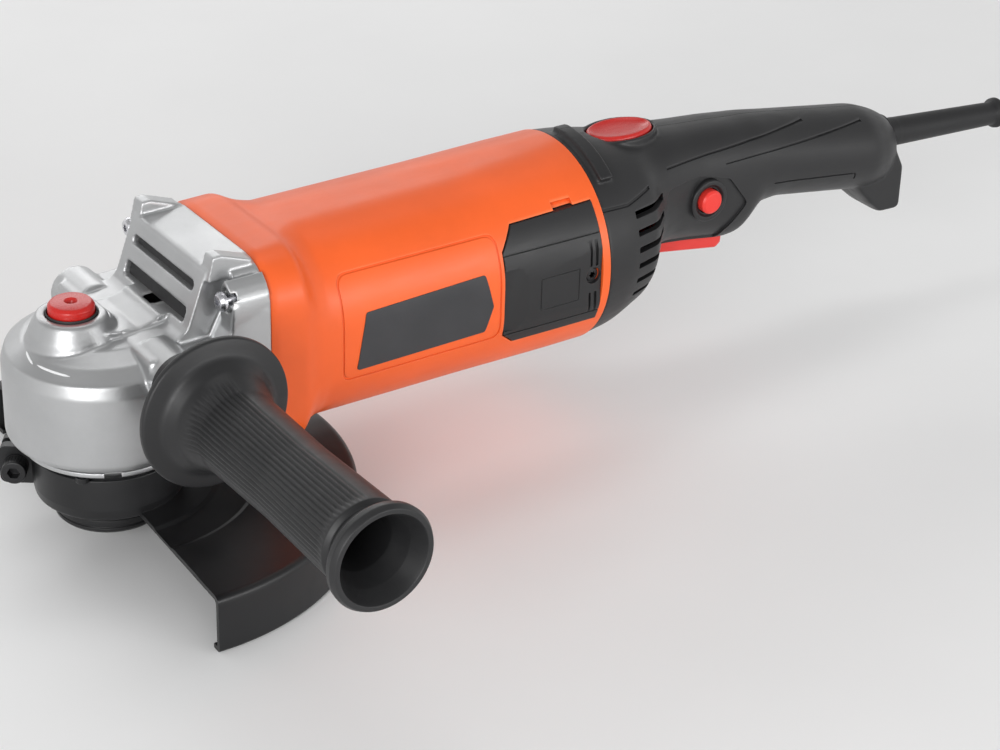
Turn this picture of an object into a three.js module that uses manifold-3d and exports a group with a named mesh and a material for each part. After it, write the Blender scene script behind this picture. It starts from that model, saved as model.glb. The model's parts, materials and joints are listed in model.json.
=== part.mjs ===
// A large angle grinder for 180 mm discs, with a guard, a side handle and a swivelling rear handle.
// Millimetres. The origin is the centre of the spindle's end face. +X points away from the rear
// handle, +Y to the operator's left, where the side handle is, and +Z up, along the spindle.
import * as THREE from "three";
import { mergeVertices } from "three/addons/utils/BufferGeometryUtils.js";
import Module from "manifold-3d";

const wasm = await Module();
wasm.setup();

// ---------------------------------------------------------------- driving dimensions
// Fits
const seat = 0.3; // gap between pieces that are pressed, screwed or laid together
const running = 0.5; // gap between pieces that move past each other
const sliver = 0.02; // detail smaller than this is left by cuts, and isn't kept
const farOff = 600; // beyond the whole grinder, for bodies that cut right through it

// Screws, by shank radius
const caseScrewRadius = 2.5;
const caseScrewHead = 4.2;
const coverScrewRadius = 1.8;
const coverScrewHead = 2.8;
const clampScrewRadius = 3;
const clampScrewHead = 5;
const clampNutRadius = 5.5;
const brushScrewRadius = 1.6;
const brushScrewHead = 3;
const handleScrewRadius = 1.8;
const handleScrewHead = 3.2;
const handleScrewHeadHeight = 2.4;

// Gear head
const headRadius = 40; // the round front of the gear case
const caseWall = 5;
const rimHeight = 37; // underside of the gear case above the spindle's end
const shoulderHeight = 74; // where the round front starts to close in
const roofHeight = 86;
const crestHeight = 43.2; // the case's top behind the louvres, above the motor axis
const neckLength = 11; // from the back of the round front to the motor housing
const flangeHalfWidth = 44.5;
const flangeCorner = 20;
const motorAxisHeight = 70.3;

// Spindle, disc clamping and guard
const spindleRadius = 7; // M14 thread
const bearingBore = 8.5;
const bearingRadius = 20;
const bearingWidth = 12;
const clampRadius = 22.6; // inner flange and lock nut
const nutHeight = 6.8;
const nutSetback = 1.2; // the spindle's end stands out of the nut
const flangeHeight = 7.4;
const guardRadius = 100;
const guardSheet = 2;
const skirtDepth = 24.7;
const skirtLip = 3;
const collarHeight = 19;
const neckRadius = 26; // the bearing cover's round neck, which the guard turns on
const guardHalfSweep = 93; // degrees each side of the rearward direction
const clampAngle = -35; // degrees, where the guard's clamp ears stand

// Gears
const crownTeeth = 28;
const pinionTeeth = 8;
const toothLength = 9;
const addendum = 0.7; // tooth heights above and below the pitch cone, in modules
const dedendum = 1.1;
const tipHalf = 0.08; // half a tooth's width at its tip and root, in pitches
const rootHalf = 0.26;

// Spindle lock
const lockOffset = 12.5; // from the spindle's axis, towards the front
const lockButtonRadius = 9.2;
const lockButtonTop = 98.1;
const lockTravel = 4;
const lockPinRadius = 2.5;

// Motor
const housingLength = 162.8;
const barrelHalf = 43; // half the width across the barrel's flat sides
const barrelFlat = 7; // half the flat between two of the barrel's rounded corners
const barrelWall = 3.6;
const swivelFlare = 3.3; // how far the round joint with the rear handle stands out of the barrel
const shaftRadius = 6;
const rotorRadius = 24;
const airGap = 0.8;
const commutatorRadius = 15;
const brushCoverDepth = 1.9;
const brushCoverProud = 0.6;

// Side handle
const sideHandleSetback = 10; // its axis behind the spindle's
const sideHandleHeight = 77.3;
const bossProud = 6; // how far the handle bosses stand out of the round front
const sideGripRadius = 16.5;
const sideGripLength = 147;
const sideGripDish = 31;
const studRadius = 5;

// Rear handle
const gripRadius = 20.4;
const gripLength = 60; // the round grip, behind the trigger
const gripDrop = 0.1627; // how far the grip falls for each millimetre rearwards
const bellLength = 54; // from the swivel joint to the trigger housing
const triggerHousingLength = 60;
const handleWall = 3;
const hookLength = 30;
const bootLength = 79;
const bootRadius = 7;
const cordBore = 4.2;

// ---------------------------------------------------------------- places worked out from them
const jointX = -(headRadius + neckLength); // gear case meets motor housing
const swivelX = jointX - housingLength;
const bossFace = headRadius + bossProud;
const swivelRadius = barrelHalf + swivelFlare;
const barrelCorner = barrelHalf - barrelFlat;
const triggerFrontX = swivelX - bellLength + 10;
const gripStartX = swivelX - bellLength - triggerHousingLength;
const gripEndX = gripStartX - gripLength;
const boreRadius = barrelHalf - barrelWall;
const plateTop = nutSetback + nutHeight + seat + flangeHeight - 1.7;
const coverFloor = nutSetback + nutHeight + seat + flangeHeight + 1.8;
const collarInner = neckRadius + seat;
const crestZ = motorAxisHeight + crestHeight;
const gripAxis = (x) => motorAxisHeight + 12.7 - gripDrop * (gripStartX - x);

// ---------------------------------------------------------------- shape tools
const TAU = 2 * Math.PI;
const rad = THREE.MathUtils.degToRad;

// Local axes (u, v, w) of a flat outline that is extruded along X, Y or Z.
const frames = {
  x: new THREE.Matrix4().makeBasis(
    new THREE.Vector3(0, 1, 0),
    new THREE.Vector3(0, 0, 1),
    new THREE.Vector3(1, 0, 0),
  ),
  y: new THREE.Matrix4().makeBasis(
    new THREE.Vector3(0, 0, 1),
    new THREE.Vector3(1, 0, 0),
    new THREE.Vector3(0, 1, 0),
  ),
  z: new THREE.Matrix4(),
};

/** A closed geometry as a solid that can be joined and cut. */
function solid(geometry) {
  const bare = geometry.index ? geometry.toNonIndexed() : geometry;
  const points = new THREE.BufferGeometry().setAttribute("position", bare.getAttribute("position"));
  const merged = mergeVertices(points, 1e-4);
  const index = merged.index.array;
  const triVerts = [];
  for (let i = 0; i < index.length; i += 3) {
    const [a, b, c] = [index[i], index[i + 1], index[i + 2]];
    if (a !== b && b !== c && c !== a) triVerts.push(a, b, c);
  }
  const make = (triangles) =>
    new wasm.Manifold(
      new wasm.Mesh({
        numProp: 3,
        vertProperties: merged.attributes.position.array,
        triVerts: new Uint32Array(triangles),
      }),
    );
  const body = make(triVerts);
  return body.volume() < 0 ? make(triVerts.reverse()) : body;
}

/** The geometry of a solid, without the slivers that cuts leave. */
function geometryOf(body) {
  const mesh = body.simplify(sliver).getMesh();
  const geometry = new THREE.BufferGeometry();
  geometry.setAttribute("position", new THREE.BufferAttribute(mesh.vertProperties, 3));
  geometry.setIndex(new THREE.BufferAttribute(mesh.triVerts, 1));
  geometry.computeVertexNormals();
  return geometry;
}

const union = (...bodies) => bodies.reduce((sum, body) => sum.add(body));
const cut = (body, ...tools) => tools.reduce((rest, tool) => rest.subtract(tool), body);

/** An outline extruded along an axis. Its points are [Y, Z] along X, [Z, X] along Y, [X, Y] along Z. */
function prism(axis, outline, from, to) {
  const shape = new THREE.Shape(outline.map(([u, v]) => new THREE.Vector2(u, v)));
  const geometry = new THREE.ExtrudeGeometry(shape, { depth: to - from, bevelEnabled: false });
  return solid(geometry.translate(0, 0, from).applyMatrix4(frames[axis]));
}

/** A side outline of [X, Z] points, extruded from one Y to another. */
const sideOutline = (points, from, to) =>
  prism("y", points.map(([x, z]) => [z, x]), from, to);

const box = (x0, x1, y0, y1, z0, z1) =>
  solid(
    new THREE.BoxGeometry(x1 - x0, y1 - y0, z1 - z0).translate(
      (x0 + x1) / 2,
      (y0 + y1) / 2,
      (z0 + z1) / 2,
    ),
  );

/** A stretch of Y on the left for side 1, and its mirror image on the right for side -1. */
const sideRange = (side, near, far) => (side > 0 ? [near, far] : [-far, -near]);

/** Points on an arc, both ends included, angles in degrees. */
const arc = (u, v, radius, start, end, steps) =>
  Array.from({ length: steps + 1 }, (_, i) => {
    const angle = rad(start + ((end - start) * i) / steps);
    return [u + radius * Math.cos(angle), v + radius * Math.sin(angle)];
  });

const circle = (u, v, radius, sides) => arc(u, v, radius, 0, 360, sides).slice(0, -1);

const ellipse = (x, halfLength, halfWidth, sides) =>
  circle(0, 0, 1, sides).map(([u, v]) => [x + halfLength * u, halfWidth * v]);

const rod = (axis, [u, v], radius, from, to, sides = 20) =>
  prism(axis, circle(u, v, radius, sides), from, to);

/** A rectangle with round corners, as [u, v] points about its centre. */
function roundedRectangle(halfWidth, halfHeight, corner, steps = 5) {
  const u = halfWidth - corner;
  const v = halfHeight - corner;
  return [
    ...arc(u, v, corner, 0, 90, steps),
    ...arc(-u, v, corner, 90, 180, steps),
    ...arc(-u, -v, corner, 180, 270, steps),
    ...arc(u, -v, corner, 270, 360, steps),
  ];
}

/** A profile of [radius, height] points turned about Z, X or Y. It starts and ends on the axis. */
function turned(profile, { axis = "z", at = [0, 0, 0], sides = 24 } = {}) {
  const points = profile.map(([radius, height]) => new THREE.Vector2(radius, height));
  const geometry = new THREE.LatheGeometry(points, sides).rotateX(Math.PI / 2);
  return solid(geometry.applyMatrix4(frames[axis]).translate(...at));
}

/** A tube about an axis, from one height to another. */
const ring = (axis, centre, inner, outer, from, to, sides = 24) =>
  cut(rod(axis, centre, outer, from, to, sides), rod(axis, centre, inner, from - 1, to + 1, sides));

/** Outlines of equal length at rising X, joined by a skin and closed at both ends. */
function loft(sections) {
  const count = sections[0].outline.length;
  const positions = [];
  const point = ({ x, outline }, i) => [x, outline[i % count][0], outline[i % count][1]];
  const centre = ({ x, outline }) => [
    x,
    outline.reduce((sum, p) => sum + p[0], 0) / count,
    outline.reduce((sum, p) => sum + p[1], 0) / count,
  ];
  const last = sections.length - 1;
  for (let i = 0; i < count; i += 1) {
    positions.push(...centre(sections[0]), ...point(sections[0], i + 1), ...point(sections[0], i));
    positions.push(...centre(sections[last]));
    positions.push(...point(sections[last], i), ...point(sections[last], i + 1));
    for (let s = 0; s < last; s += 1) {
      const [a, b] = [sections[s], sections[s + 1]];
      positions.push(...point(a, i), ...point(a, i + 1), ...point(b, i + 1));
      positions.push(...point(a, i), ...point(b, i + 1), ...point(b, i));
    }
  }
  const geometry = new THREE.BufferGeometry();
  geometry.setAttribute("position", new THREE.Float32BufferAttribute(positions, 3));
  return solid(geometry);
}

/** A coil spring of round wire about Z. */
function spring(centre, radius, wire, from, to, turns) {
  const steps = 8 * turns;
  const rise = to - from - 2 * wire;
  const points = Array.from({ length: steps + 1 }, (_, i) => {
    const angle = (TAU * turns * i) / steps;
    return new THREE.Vector3(
      centre[0] + radius * Math.cos(angle),
      centre[1] + radius * Math.sin(angle),
      from + wire + (rise * i) / steps,
    );
  });
  const section = new THREE.Shape(
    circle(0, 0, wire, 6).map(([u, v]) => new THREE.Vector2(u, v)),
  );
  const extrudePath = new THREE.CatmullRomCurve3(points);
  return solid(new THREE.ExtrudeGeometry(section, { steps, extrudePath, bevelEnabled: false }));
}

/**
 * A bevel gear's toothed ring about Z, with the cones' common apex at the origin. Each end is
 * closed by a flat cap of the given radius and height.
 */
function bevelGear(teeth, pitchRadius, pitchHeight, innerCap, outerCap, phase) {
  const cone = Math.atan2(pitchRadius, pitchHeight);
  const outerDistance = Math.hypot(pitchRadius, pitchHeight);
  const innerDistance = outerDistance - toothLength;
  const module = (2 * pitchRadius) / teeth / outerDistance;
  const pitch = TAU / teeth;
  const corners = [
    [-rootHalf, -dedendum],
    [-tipHalf, addendum],
    [tipHalf, addendum],
    [rootHalf, -dedendum],
  ];
  const onCone = (tooth, [turn, depth], distance) => {
    const angle = (tooth + phase + turn) * pitch;
    const slope = cone + depth * module;
    const radius = distance * Math.sin(slope);
    return [radius * Math.cos(angle), radius * Math.sin(angle), distance * Math.cos(slope)];
  };
  const onCap = (tooth, [radius, height]) => {
    const angle = (tooth + phase) * pitch;
    return [radius * Math.cos(angle), radius * Math.sin(angle), height];
  };
  const positions = [];
  const face = (...points) => positions.push(...points.flat());
  for (let tooth = 0; tooth < teeth; tooth += 1) {
    const outline = [...corners.map((corner) => [tooth, corner]), [tooth + 1, corners[0]]];
    for (let i = 0; i < corners.length; i += 1) {
      const [a, b] = [outline[i], outline[i + 1]].map((place) => onCone(...place, innerDistance));
      const [d, c] = [outline[i], outline[i + 1]].map((place) => onCone(...place, outerDistance));
      face(a, c, b);
      face(a, d, c);
      face(onCap(tooth, innerCap), a, b);
      face(onCap(tooth, outerCap), c, d);
    }
    const [inner, nextInner] = [onCap(tooth, innerCap), onCap(tooth + 1, innerCap)];
    const [outer, nextOuter] = [onCap(tooth, outerCap), onCap(tooth + 1, outerCap)];
    face(inner, onCone(tooth + 1, corners[0], innerDistance), nextInner);
    face(outer, nextOuter, onCone(tooth + 1, corners[0], outerDistance));
    face([0, 0, innerCap[1]], inner, nextInner);
    face([0, 0, outerCap[1]], nextOuter, outer);
  }
  const geometry = new THREE.BufferGeometry();
  return geometry.setAttribute("position", new THREE.Float32BufferAttribute(positions, 3));
}

// ---------------------------------------------------------------- materials and groups
const material = (color, roughness, metalness) =>
  new THREE.MeshStandardMaterial({ color, roughness, metalness });
const castAluminium = material(0xbfc0c2, 0.42, 0.9);
const orangeShell = material(0xf2602c, 0.5, 0);
const blackNylon = material(0x2b2b2d, 0.6, 0);
const blackSteel = material(0x1c1c1e, 0.45, 0.6);
const redPlastic = material(0xd8362c, 0.4, 0);
const softRubber = material(0x222224, 0.8, 0);
const steel = material(0x9a9c9f, 0.35, 1);
const copper = material(0xb5683a, 0.4, 0.9);
const laminations = material(0x6d6f72, 0.5, 0.8);
const brass = material(0xc09a4d, 0.35, 0.9);
const carbon = material(0x303033, 0.9, 0);

const grinder = new THREE.Group();
const motorAxis = new THREE.Group();
motorAxis.position.set(0, 0, motorAxisHeight);
grinder.add(motorAxis);

function add(name, body, look, group = grinder) {
  const mesh = new THREE.Mesh(geometryOf(body), look);
  mesh.name = name;
  group.add(mesh);
}

// ---------------------------------------------------------------- spindle and disc clamping
const flangeTop = nutSetback + nutHeight + seat + flangeHeight;
const bearingBottom = coverFloor + 4;
const bearingTop = bearingBottom + bearingWidth;
const gearFit = 8; // the spindle's radius where the crown gear is pressed on
const gearTop = motorAxisHeight - 4;
const journalRadius = 4;
const spindleTop = roofHeight - 9;

function makeSpindle() {
  const shoulder = flangeTop + seat;
  return turned([
    [0, 0],
    [spindleRadius - 0.8, 0],
    [spindleRadius, 0.8],
    [spindleRadius, shoulder],
    [bearingBore + 1.5, shoulder],
    [bearingBore + 1.5, bearingBottom - seat],
    [bearingBore, bearingBottom - seat],
    [bearingBore, bearingTop + 1],
    [gearFit, bearingTop + 1],
    [gearFit, gearTop - 3],
    [journalRadius + 1.5, gearTop - 1],
    [journalRadius + 1.5, gearTop],
    [journalRadius, gearTop],
    [journalRadius, spindleTop],
    [0, spindleTop],
  ]);
}

/** A clamping disc with chamfered edges and a hole for the spindle's thread. */
function clampDisc(bottom, height, chamfer) {
  const disc = turned(
    [
      [0, bottom],
      [clampRadius - chamfer, bottom],
      [clampRadius, bottom + chamfer],
      [clampRadius, bottom + height - 0.6],
      [clampRadius - 0.6, bottom + height],
      [0, bottom + height],
    ],
    { sides: 28 },
  );
  return cut(disc, rod("z", [0, 0], spindleRadius + seat, bottom - 1, bottom + height + 1));
}

function makeLockNut() {
  const spannerHoles = [-1, 1].map((side) =>
    rod("z", [side * 15, 0], 2.2, 0, nutSetback + nutHeight - 2, 12),
  );
  return cut(clampDisc(nutSetback, nutHeight, 1.4), ...spannerHoles);
}

add("spindle", makeSpindle(), steel);
add("lock_nut", makeLockNut(), blackSteel);
add("inner_flange", clampDisc(nutSetback + nutHeight + seat, flangeHeight, 1), blackSteel);

// ---------------------------------------------------------------- bevel gears
const crownPitchRadius = headRadius - 15;
const pinionPitchRadius = (crownPitchRadius * pinionTeeth) / crownTeeth;
const crownHubBottom = 20; // below the cones' apex
const gearHoleRadius = lockPinRadius + running;
const pinBottom = motorAxisHeight - 4.7; // the lock pin stands above the crown gear at rest

function makeCrownGear() {
  const webRadius = lockOffset + gearHoleRadius + 0.2;
  const webBottom = crownPitchRadius - 10; // below the cones' apex, as its top is
  const webTop = motorAxisHeight - pinBottom + 1.5;
  const gear = bevelGear(
    crownTeeth,
    crownPitchRadius,
    pinionPitchRadius,
    [webRadius, webTop],
    [webRadius, webBottom],
    0.5,
  );
  const blank = solid(gear.rotateX(Math.PI).translate(0, 0, motorAxisHeight));
  const hubTop = motorAxisHeight - webBottom + 1;
  const hub = rod("z", [0, 0], gearFit + 1, bearingTop + 1 + seat, hubTop, 16);
  const lockHoles = circle(0, 0, lockOffset, 4).map((centre) =>
    rod("z", centre, gearHoleRadius, 0, motorAxisHeight, 10),
  );
  return cut(union(blank, hub), rod("z", [0, 0], gearFit + seat, 0, farOff, 16), ...lockHoles);
}

const pinionHubEnd = crownPitchRadius + 11;
const pinionSocket = shaftRadius - 1;

function makePinion() {
  const gear = bevelGear(
    pinionTeeth,
    pinionPitchRadius,
    crownPitchRadius,
    [2.4, crownPitchRadius - 8.3],
    [4, crownPitchRadius + 2],
    0,
  );
  const blank = solid(gear.rotateY(-Math.PI / 2));
  const hubFront = -crownPitchRadius - 0.7;
  const hub = rod("x", [0, 0], pinionPitchRadius + 1.2, -pinionHubEnd, hubFront);
  const socket = rod("x", [0, 0], pinionSocket + seat, -pinionHubEnd - 1, hubFront - 2);
  return cut(union(blank, hub), socket);
}

add("crown_gear", makeCrownGear(), steel);
add("pinion", makePinion(), steel, motorAxis);

// ---------------------------------------------------------------- gear case
const screwSpread = flangeHalfWidth - 6;
const screwRise = crestHeight - 11;
const screwPlaces = [
  [screwSpread, screwRise],
  [-screwSpread, screwRise],
  [-screwSpread, -screwRise],
  [screwSpread, -screwRise],
];
const earRadius = 6.3;
const earFrontX = jointX + 17;
const coverScrewRing = headRadius - 8.8;
const coverScrewAngles = [45, 135, 225, 315];
const chamberOpening = crownPitchRadius + 2.5;
const pinionPassage = pinionPitchRadius + 3;
const frontBearingRadius = 16;
const frontBearingWidth = 10;
const frontBearingX = jointX + 14;
const louvreHalf = 25;
const topBearingRadius = journalRadius + 2.5;

/** The flange outline that the gear case and the motor housing share, about the motor axis. */
const flangeOutline = (grow, corner = flangeCorner) =>
  roundedRectangle(flangeHalfWidth + grow, crestHeight + grow, corner + grow);

function headShape() {
  const front = turned(
    [
      [0, rimHeight],
      [headRadius - 5, rimHeight],
      [headRadius - 5, rimHeight + 2.5],
      [headRadius - 1.5, rimHeight + 3],
      [headRadius, rimHeight + 5],
      [headRadius, shoulderHeight],
      [headRadius - 1.5, shoulderHeight + 3.5],
      [headRadius - 9, shoulderHeight + 8],
      [headRadius - 16, roofHeight - 1],
      [0, roofHeight],
    ],
    { sides: 36 },
  );
  const boss = turned(
    [
      [0, roofHeight - 6],
      [lockButtonRadius + 9, roofHeight - 6],
      [lockButtonRadius + 8.2, roofHeight + 0.4],
      [lockButtonRadius + 5.3, roofHeight + 6],
      [lockButtonRadius + 3.8, roofHeight + 7.5],
      [0, roofHeight + 7.5],
    ],
    { at: [lockOffset, 0, 0] },
  );
  return union(front, boss);
}

/** The neck that rises from the round front to the motor housing, with its sloping louvre face. */
function neckShape() {
  const louvreFoot = 19 - headRadius;
  const side = sideOutline(
    [
      [0, rimHeight + 3],
      [3 - headRadius, rimHeight + 2],
      [jointX + 8, motorAxisHeight - crestHeight + 4],
      [jointX, motorAxisHeight - crestHeight],
      [jointX, crestZ],
      [louvreFoot - 9.5, crestZ - 0.3],
      [louvreFoot - 8.5, crestZ - 1.5],
      [louvreFoot, roofHeight + 1],
      [0, roofHeight - 0.5],
    ],
    -60,
    60,
  );
  const plan = prism(
    "z",
    [
      [jointX, -flangeHalfWidth],
      [0, -headRadius],
      [0, headRadius],
      [jointX, flangeHalfWidth],
    ],
    0,
    2 * crestZ,
  );
  const end = prism("x", flangeOutline(0).map(([y, z]) => [y, z + motorAxisHeight]), jointX, 0);
  return side.intersect(plan).intersect(end);
}

/** Four ears for the screws that hold the case to the motor housing. */
const caseEars = () =>
  screwPlaces.map(([y, z]) =>
    rod("x", [y, z + motorAxisHeight], earRadius, jointX, earFrontX, 16),
  );

/** Two fins on the crest and a boss for the side handle on each side. */
function caseLugs() {
  const lugs = [-1, 1].flatMap((side) => {
    const inner = side * louvreHalf;
    const outer = side * (louvreHalf + 8);
    const fin = sideOutline(
      [
        [jointX + 2, crestZ - 4],
        [jointX + 15, crestZ + 5.5],
        [jointX + 19, crestZ + 5],
        [jointX + 20.5, crestZ - 4],
      ],
      Math.min(inner, outer),
      Math.max(inner, outer),
    );
    const boss = rod(
      "y",
      [sideHandleHeight, -sideHandleSetback],
      studRadius + 9,
      side > 0 ? headRadius - 8 : -bossFace,
      side > 0 ? bossFace : 8 - headRadius,
    );
    return [fin, boss];
  });
  return union(...lugs);
}

function gearChamber() {
  const roof = roofHeight - 7;
  return union(
    rod("z", [0, 0], chamberOpening, 0, rimHeight + 8, 28),
    rod("z", [0, 0], headRadius - caseWall - 1, rimHeight + 7, roof, 28),
  );
}

function makeGearCase() {
  const outside = union(headShape(), neckShape(), caseLugs(), ...caseEars());
  const topSeat = cut(
    rod("z", [0, 0], topBearingRadius + 2.4, gearTop + 1.5, roofHeight - 4),
    rod("z", [0, 0], topBearingRadius + seat, 0, spindleTop + 1),
  );
  const passage = rod("x", [0, motorAxisHeight], pinionPassage, jointX - 1, -12);
  const bearingSeat = rod(
    "x",
    [0, motorAxisHeight],
    frontBearingRadius + seat,
    jointX - 1,
    frontBearingX + seat,
  );
  const ductFloor = motorAxisHeight + frontBearingRadius + 4;
  const duct = box(jointX - 1, jointX + 19, -louvreHalf, louvreHalf, ductFloor, crestZ - caseWall);
  const louvres = [
    [ductFloor - 0.3, ductFloor + 5.7],
    [crestZ - 11.1, crestZ - 7.9],
  ].map(([low, high]) => box(jointX + 1, 0, -louvreHalf, louvreHalf, low, high));
  const screwHoles = screwPlaces.flatMap(([y, z]) => [
    rod("x", [y, z + motorAxisHeight], caseScrewRadius + seat, jointX - 1, 0, 12),
    rod("x", [y, z + motorAxisHeight], caseScrewHead + 0.8, earFrontX, 0, 16),
  ]);
  const coverHoles = coverScrewAngles.map((angle) =>
    rod(
      "z",
      [coverScrewRing * Math.cos(rad(angle)), coverScrewRing * Math.sin(rad(angle))],
      coverScrewRadius + seat,
      0,
      rimHeight + 9,
      12,
    ),
  );
  const studHole = rod(
    "y",
    [sideHandleHeight, -sideHandleSetback],
    studRadius + seat,
    -bossFace - 1,
    bossFace + 1,
    16,
  );
  const wellFloor = roofHeight - 0.5;
  const buttonWell = rod("z", [lockOffset, 0], lockButtonRadius + running, wellFloor, farOff);
  const pinHole = rod("z", [lockOffset, 0], lockPinRadius + running, roofHeight - 12, farOff, 16);
  const hollow = cut(outside, gearChamber(), passage);
  return cut(
    union(hollow, topSeat),
    bearingSeat,
    duct,
    ...louvres,
    ...screwHoles,
    ...coverHoles,
    studHole,
    buttonWell,
    pinHole,
  );
}

add("gear_case", makeGearCase(), castAluminium);

screwPlaces.forEach(([y, z], i) => {
  const head = rod("x", [y, z], caseScrewHead, earFrontX + seat, earFrontX + 3.4, 16);
  const shank = rod("x", [y, z], caseScrewRadius, jointX - 15, earFrontX + 1, 12);
  const drive = rod("x", [y, z], 1.8, earFrontX + 1.6, earFrontX + 4, 6);
  add("case_screw_" + (i + 1), cut(union(head, shank), drive), steel, motorAxis);
});

// ---------------------------------------------------------------- bearing cover and bearings
function makeBearingCover() {
  const top = rimHeight - seat;
  const outside = turned(
    [
      [0, coverFloor],
      [neckRadius - 1, coverFloor],
      [neckRadius, coverFloor + 1],
      [neckRadius, top - 2.7],
      [headRadius - 5.5, top - 2.7],
      [headRadius - 5.5, top],
      [chamberOpening - seat, top],
      [chamberOpening - seat, top + 3],
      [0, top + 3],
    ],
    { sides: 28 },
  );
  const screwHoles = coverScrewAngles.map((angle) =>
    rod(
      "z",
      [coverScrewRing * Math.cos(rad(angle)), coverScrewRing * Math.sin(rad(angle))],
      coverScrewRadius + seat,
      coverFloor,
      top + 1,
      12,
    ),
  );
  return cut(
    outside,
    rod("z", [0, 0], bearingRadius + seat, bearingBottom - seat, farOff),
    rod("z", [0, 0], bearingBore + 1.5 + running, 0, farOff),
    ...screwHoles,
  );
}

/** A ball bearing as one ring, loose on its shaft. */
const bearing = (axis, bore, radius, from, to) =>
  ring(axis, [0, 0], bore + seat, radius, from, to, 20);

add("bearing_cover", makeBearingCover(), castAluminium);
add("spindle_bearing", bearing("z", bearingBore, bearingRadius, bearingBottom, bearingTop), steel);
add(
  "top_bearing",
  ring("z", [0, 0], journalRadius + seat, topBearingRadius, gearTop + 2, spindleTop - 0.5, 20),
  steel,
);
add(
  "front_bearing",
  bearing(
    "x",
    shaftRadius,
    frontBearingRadius,
    frontBearingX - frontBearingWidth,
    frontBearingX,
  ),
  steel,
  motorAxis,
);

coverScrewAngles.forEach((angle, i) => {
  const centre = [coverScrewRing * Math.cos(rad(angle)), coverScrewRing * Math.sin(rad(angle))];
  const headTop = rimHeight - 3 - 2 * seat;
  const head = rod("z", centre, coverScrewHead, headTop - 2.2, headTop, 12);
  const shank = rod("z", centre, coverScrewRadius, headTop - 1, rimHeight + 8, 10);
  add("cover_screw_" + (i + 1), union(head, shank), steel);
});

// ---------------------------------------------------------------- spindle lock
const buttonBottom = roofHeight + lockTravel;

function makeLockButton() {
  return turned(
    [
      [0, buttonBottom],
      [lockButtonRadius, buttonBottom],
      [lockButtonRadius, lockButtonTop - 1.2],
      [lockButtonRadius - 1.2, lockButtonTop],
      [2.2, lockButtonTop],
      [1.2, lockButtonTop - 0.8],
      [0, lockButtonTop - 0.8],
    ],
    { at: [lockOffset, 0, 0] },
  );
}

const lockSpringRadius = lockPinRadius + 2.4;
const lockSpringTop = buttonBottom + 3;
const pinTop = lockSpringTop + 2;
const pinSocket = rod("z", [lockOffset, 0], lockPinRadius + seat, 0, pinTop + seat, 16);
const springRecess = rod("z", [lockOffset, 0], lockSpringRadius + 1.6, 0, lockSpringTop, 20);
add("lock_button", cut(makeLockButton(), pinSocket, springRecess), redPlastic);
add("lock_pin", rod("z", [lockOffset, 0], lockPinRadius, pinBottom, pinTop, 16), steel);
add(
  "lock_spring",
  spring([lockOffset, 0], lockSpringRadius, 0.5, roofHeight - 0.5 + 0.2, lockSpringTop - 0.2, 3),
  steel,
);

// ---------------------------------------------------------------- guard
const collarOuter = collarInner + guardSheet;
const plateBottom = plateTop - guardSheet;
const earWidth = 4;
const earReach = 15;
const earGap = 3;
const clampScrewReach = collarOuter + earReach / 2 + 0.5;
const clampScrewHeight = (plateTop + plateBottom + collarHeight) / 2;
const clampCentre = [clampScrewHeight, clampScrewReach];
const earFace = earGap / 2 + earWidth; // the ears' outer faces, from the slit's middle

/** The guard's half disc, from its straight front edges round the back. */
function guardSector(inner, outer, bottom, top) {
  const start = 180 - guardHalfSweep;
  const end = 180 + guardHalfSweep;
  const outline = [...arc(0, 0, outer, start, end, 28), ...arc(0, 0, inner, end, start, 28)];
  return prism("z", outline, bottom, top);
}

function makeGuard() {
  const skirtBottom = plateTop - skirtDepth;
  const rim = guardRadius - guardSheet;
  const plate = guardSector(collarInner, guardRadius, plateBottom, plateTop);
  const skirt = guardSector(rim, guardRadius, skirtBottom, plateTop);
  const lip = guardSector(rim - skirtLip, guardRadius, skirtBottom, skirtBottom + guardSheet);
  const collar = ring("z", [0, 0], collarInner, collarOuter, plateBottom, plateBottom + collarHeight, 28);
  const earTop = plateBottom + collarHeight;
  const ears = [-1, 1].map((side) => {
    const near = (side * earGap) / 2;
    const far = near + side * earWidth;
    const outline = [
      [collarInner + 1, Math.min(near, far)],
      [collarOuter + earReach, Math.min(near, far)],
      [collarOuter + earReach, Math.max(near, far)],
      [collarInner + 1, Math.max(near, far)],
    ];
    return prism("z", outline, plateTop, earTop);
  });
  const slit = box(collarInner - 2, collarOuter + earReach + 1, -earGap / 2, earGap / 2, 0, farOff);
  const screwHole = rod("y", clampCentre, clampScrewRadius + seat, -farOff, farOff, 12);
  const clamp = cut(union(...ears), slit, screwHole);
  return { body: union(plate, skirt, lip, collar), clamp, slit };
}

/** A solid turned about the spindle's axis. */
function aboutSpindle(body, degrees) {
  return solid(geometryOf(body).rotateZ(rad(degrees)));
}

function guardWithClamp() {
  const { body, clamp, slit } = makeGuard();
  return union(cut(body, aboutSpindle(slit, clampAngle)), aboutSpindle(clamp, clampAngle));
}

const clampScrew = union(
  rod("y", clampCentre, clampScrewHead, earFace + seat, earFace + 7, 16),
  rod("y", clampCentre, clampScrewRadius, -earFace - 8.5, earFace + 1, 12),
);
const clampDrive = rod("y", clampCentre, clampScrewHead / 2, earFace + 3.5, farOff, 6);
const clampNut = cut(
  rod("y", clampCentre, clampNutRadius, -earFace - 5.5, -earFace - seat, 6),
  rod("y", clampCentre, clampScrewRadius + seat, -farOff, farOff, 12),
);
add("guard", guardWithClamp(), blackSteel);
add("clamp_screw", aboutSpindle(cut(clampScrew, clampDrive), clampAngle), blackSteel);
add("clamp_nut", aboutSpindle(clampNut, clampAngle), blackSteel);

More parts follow.
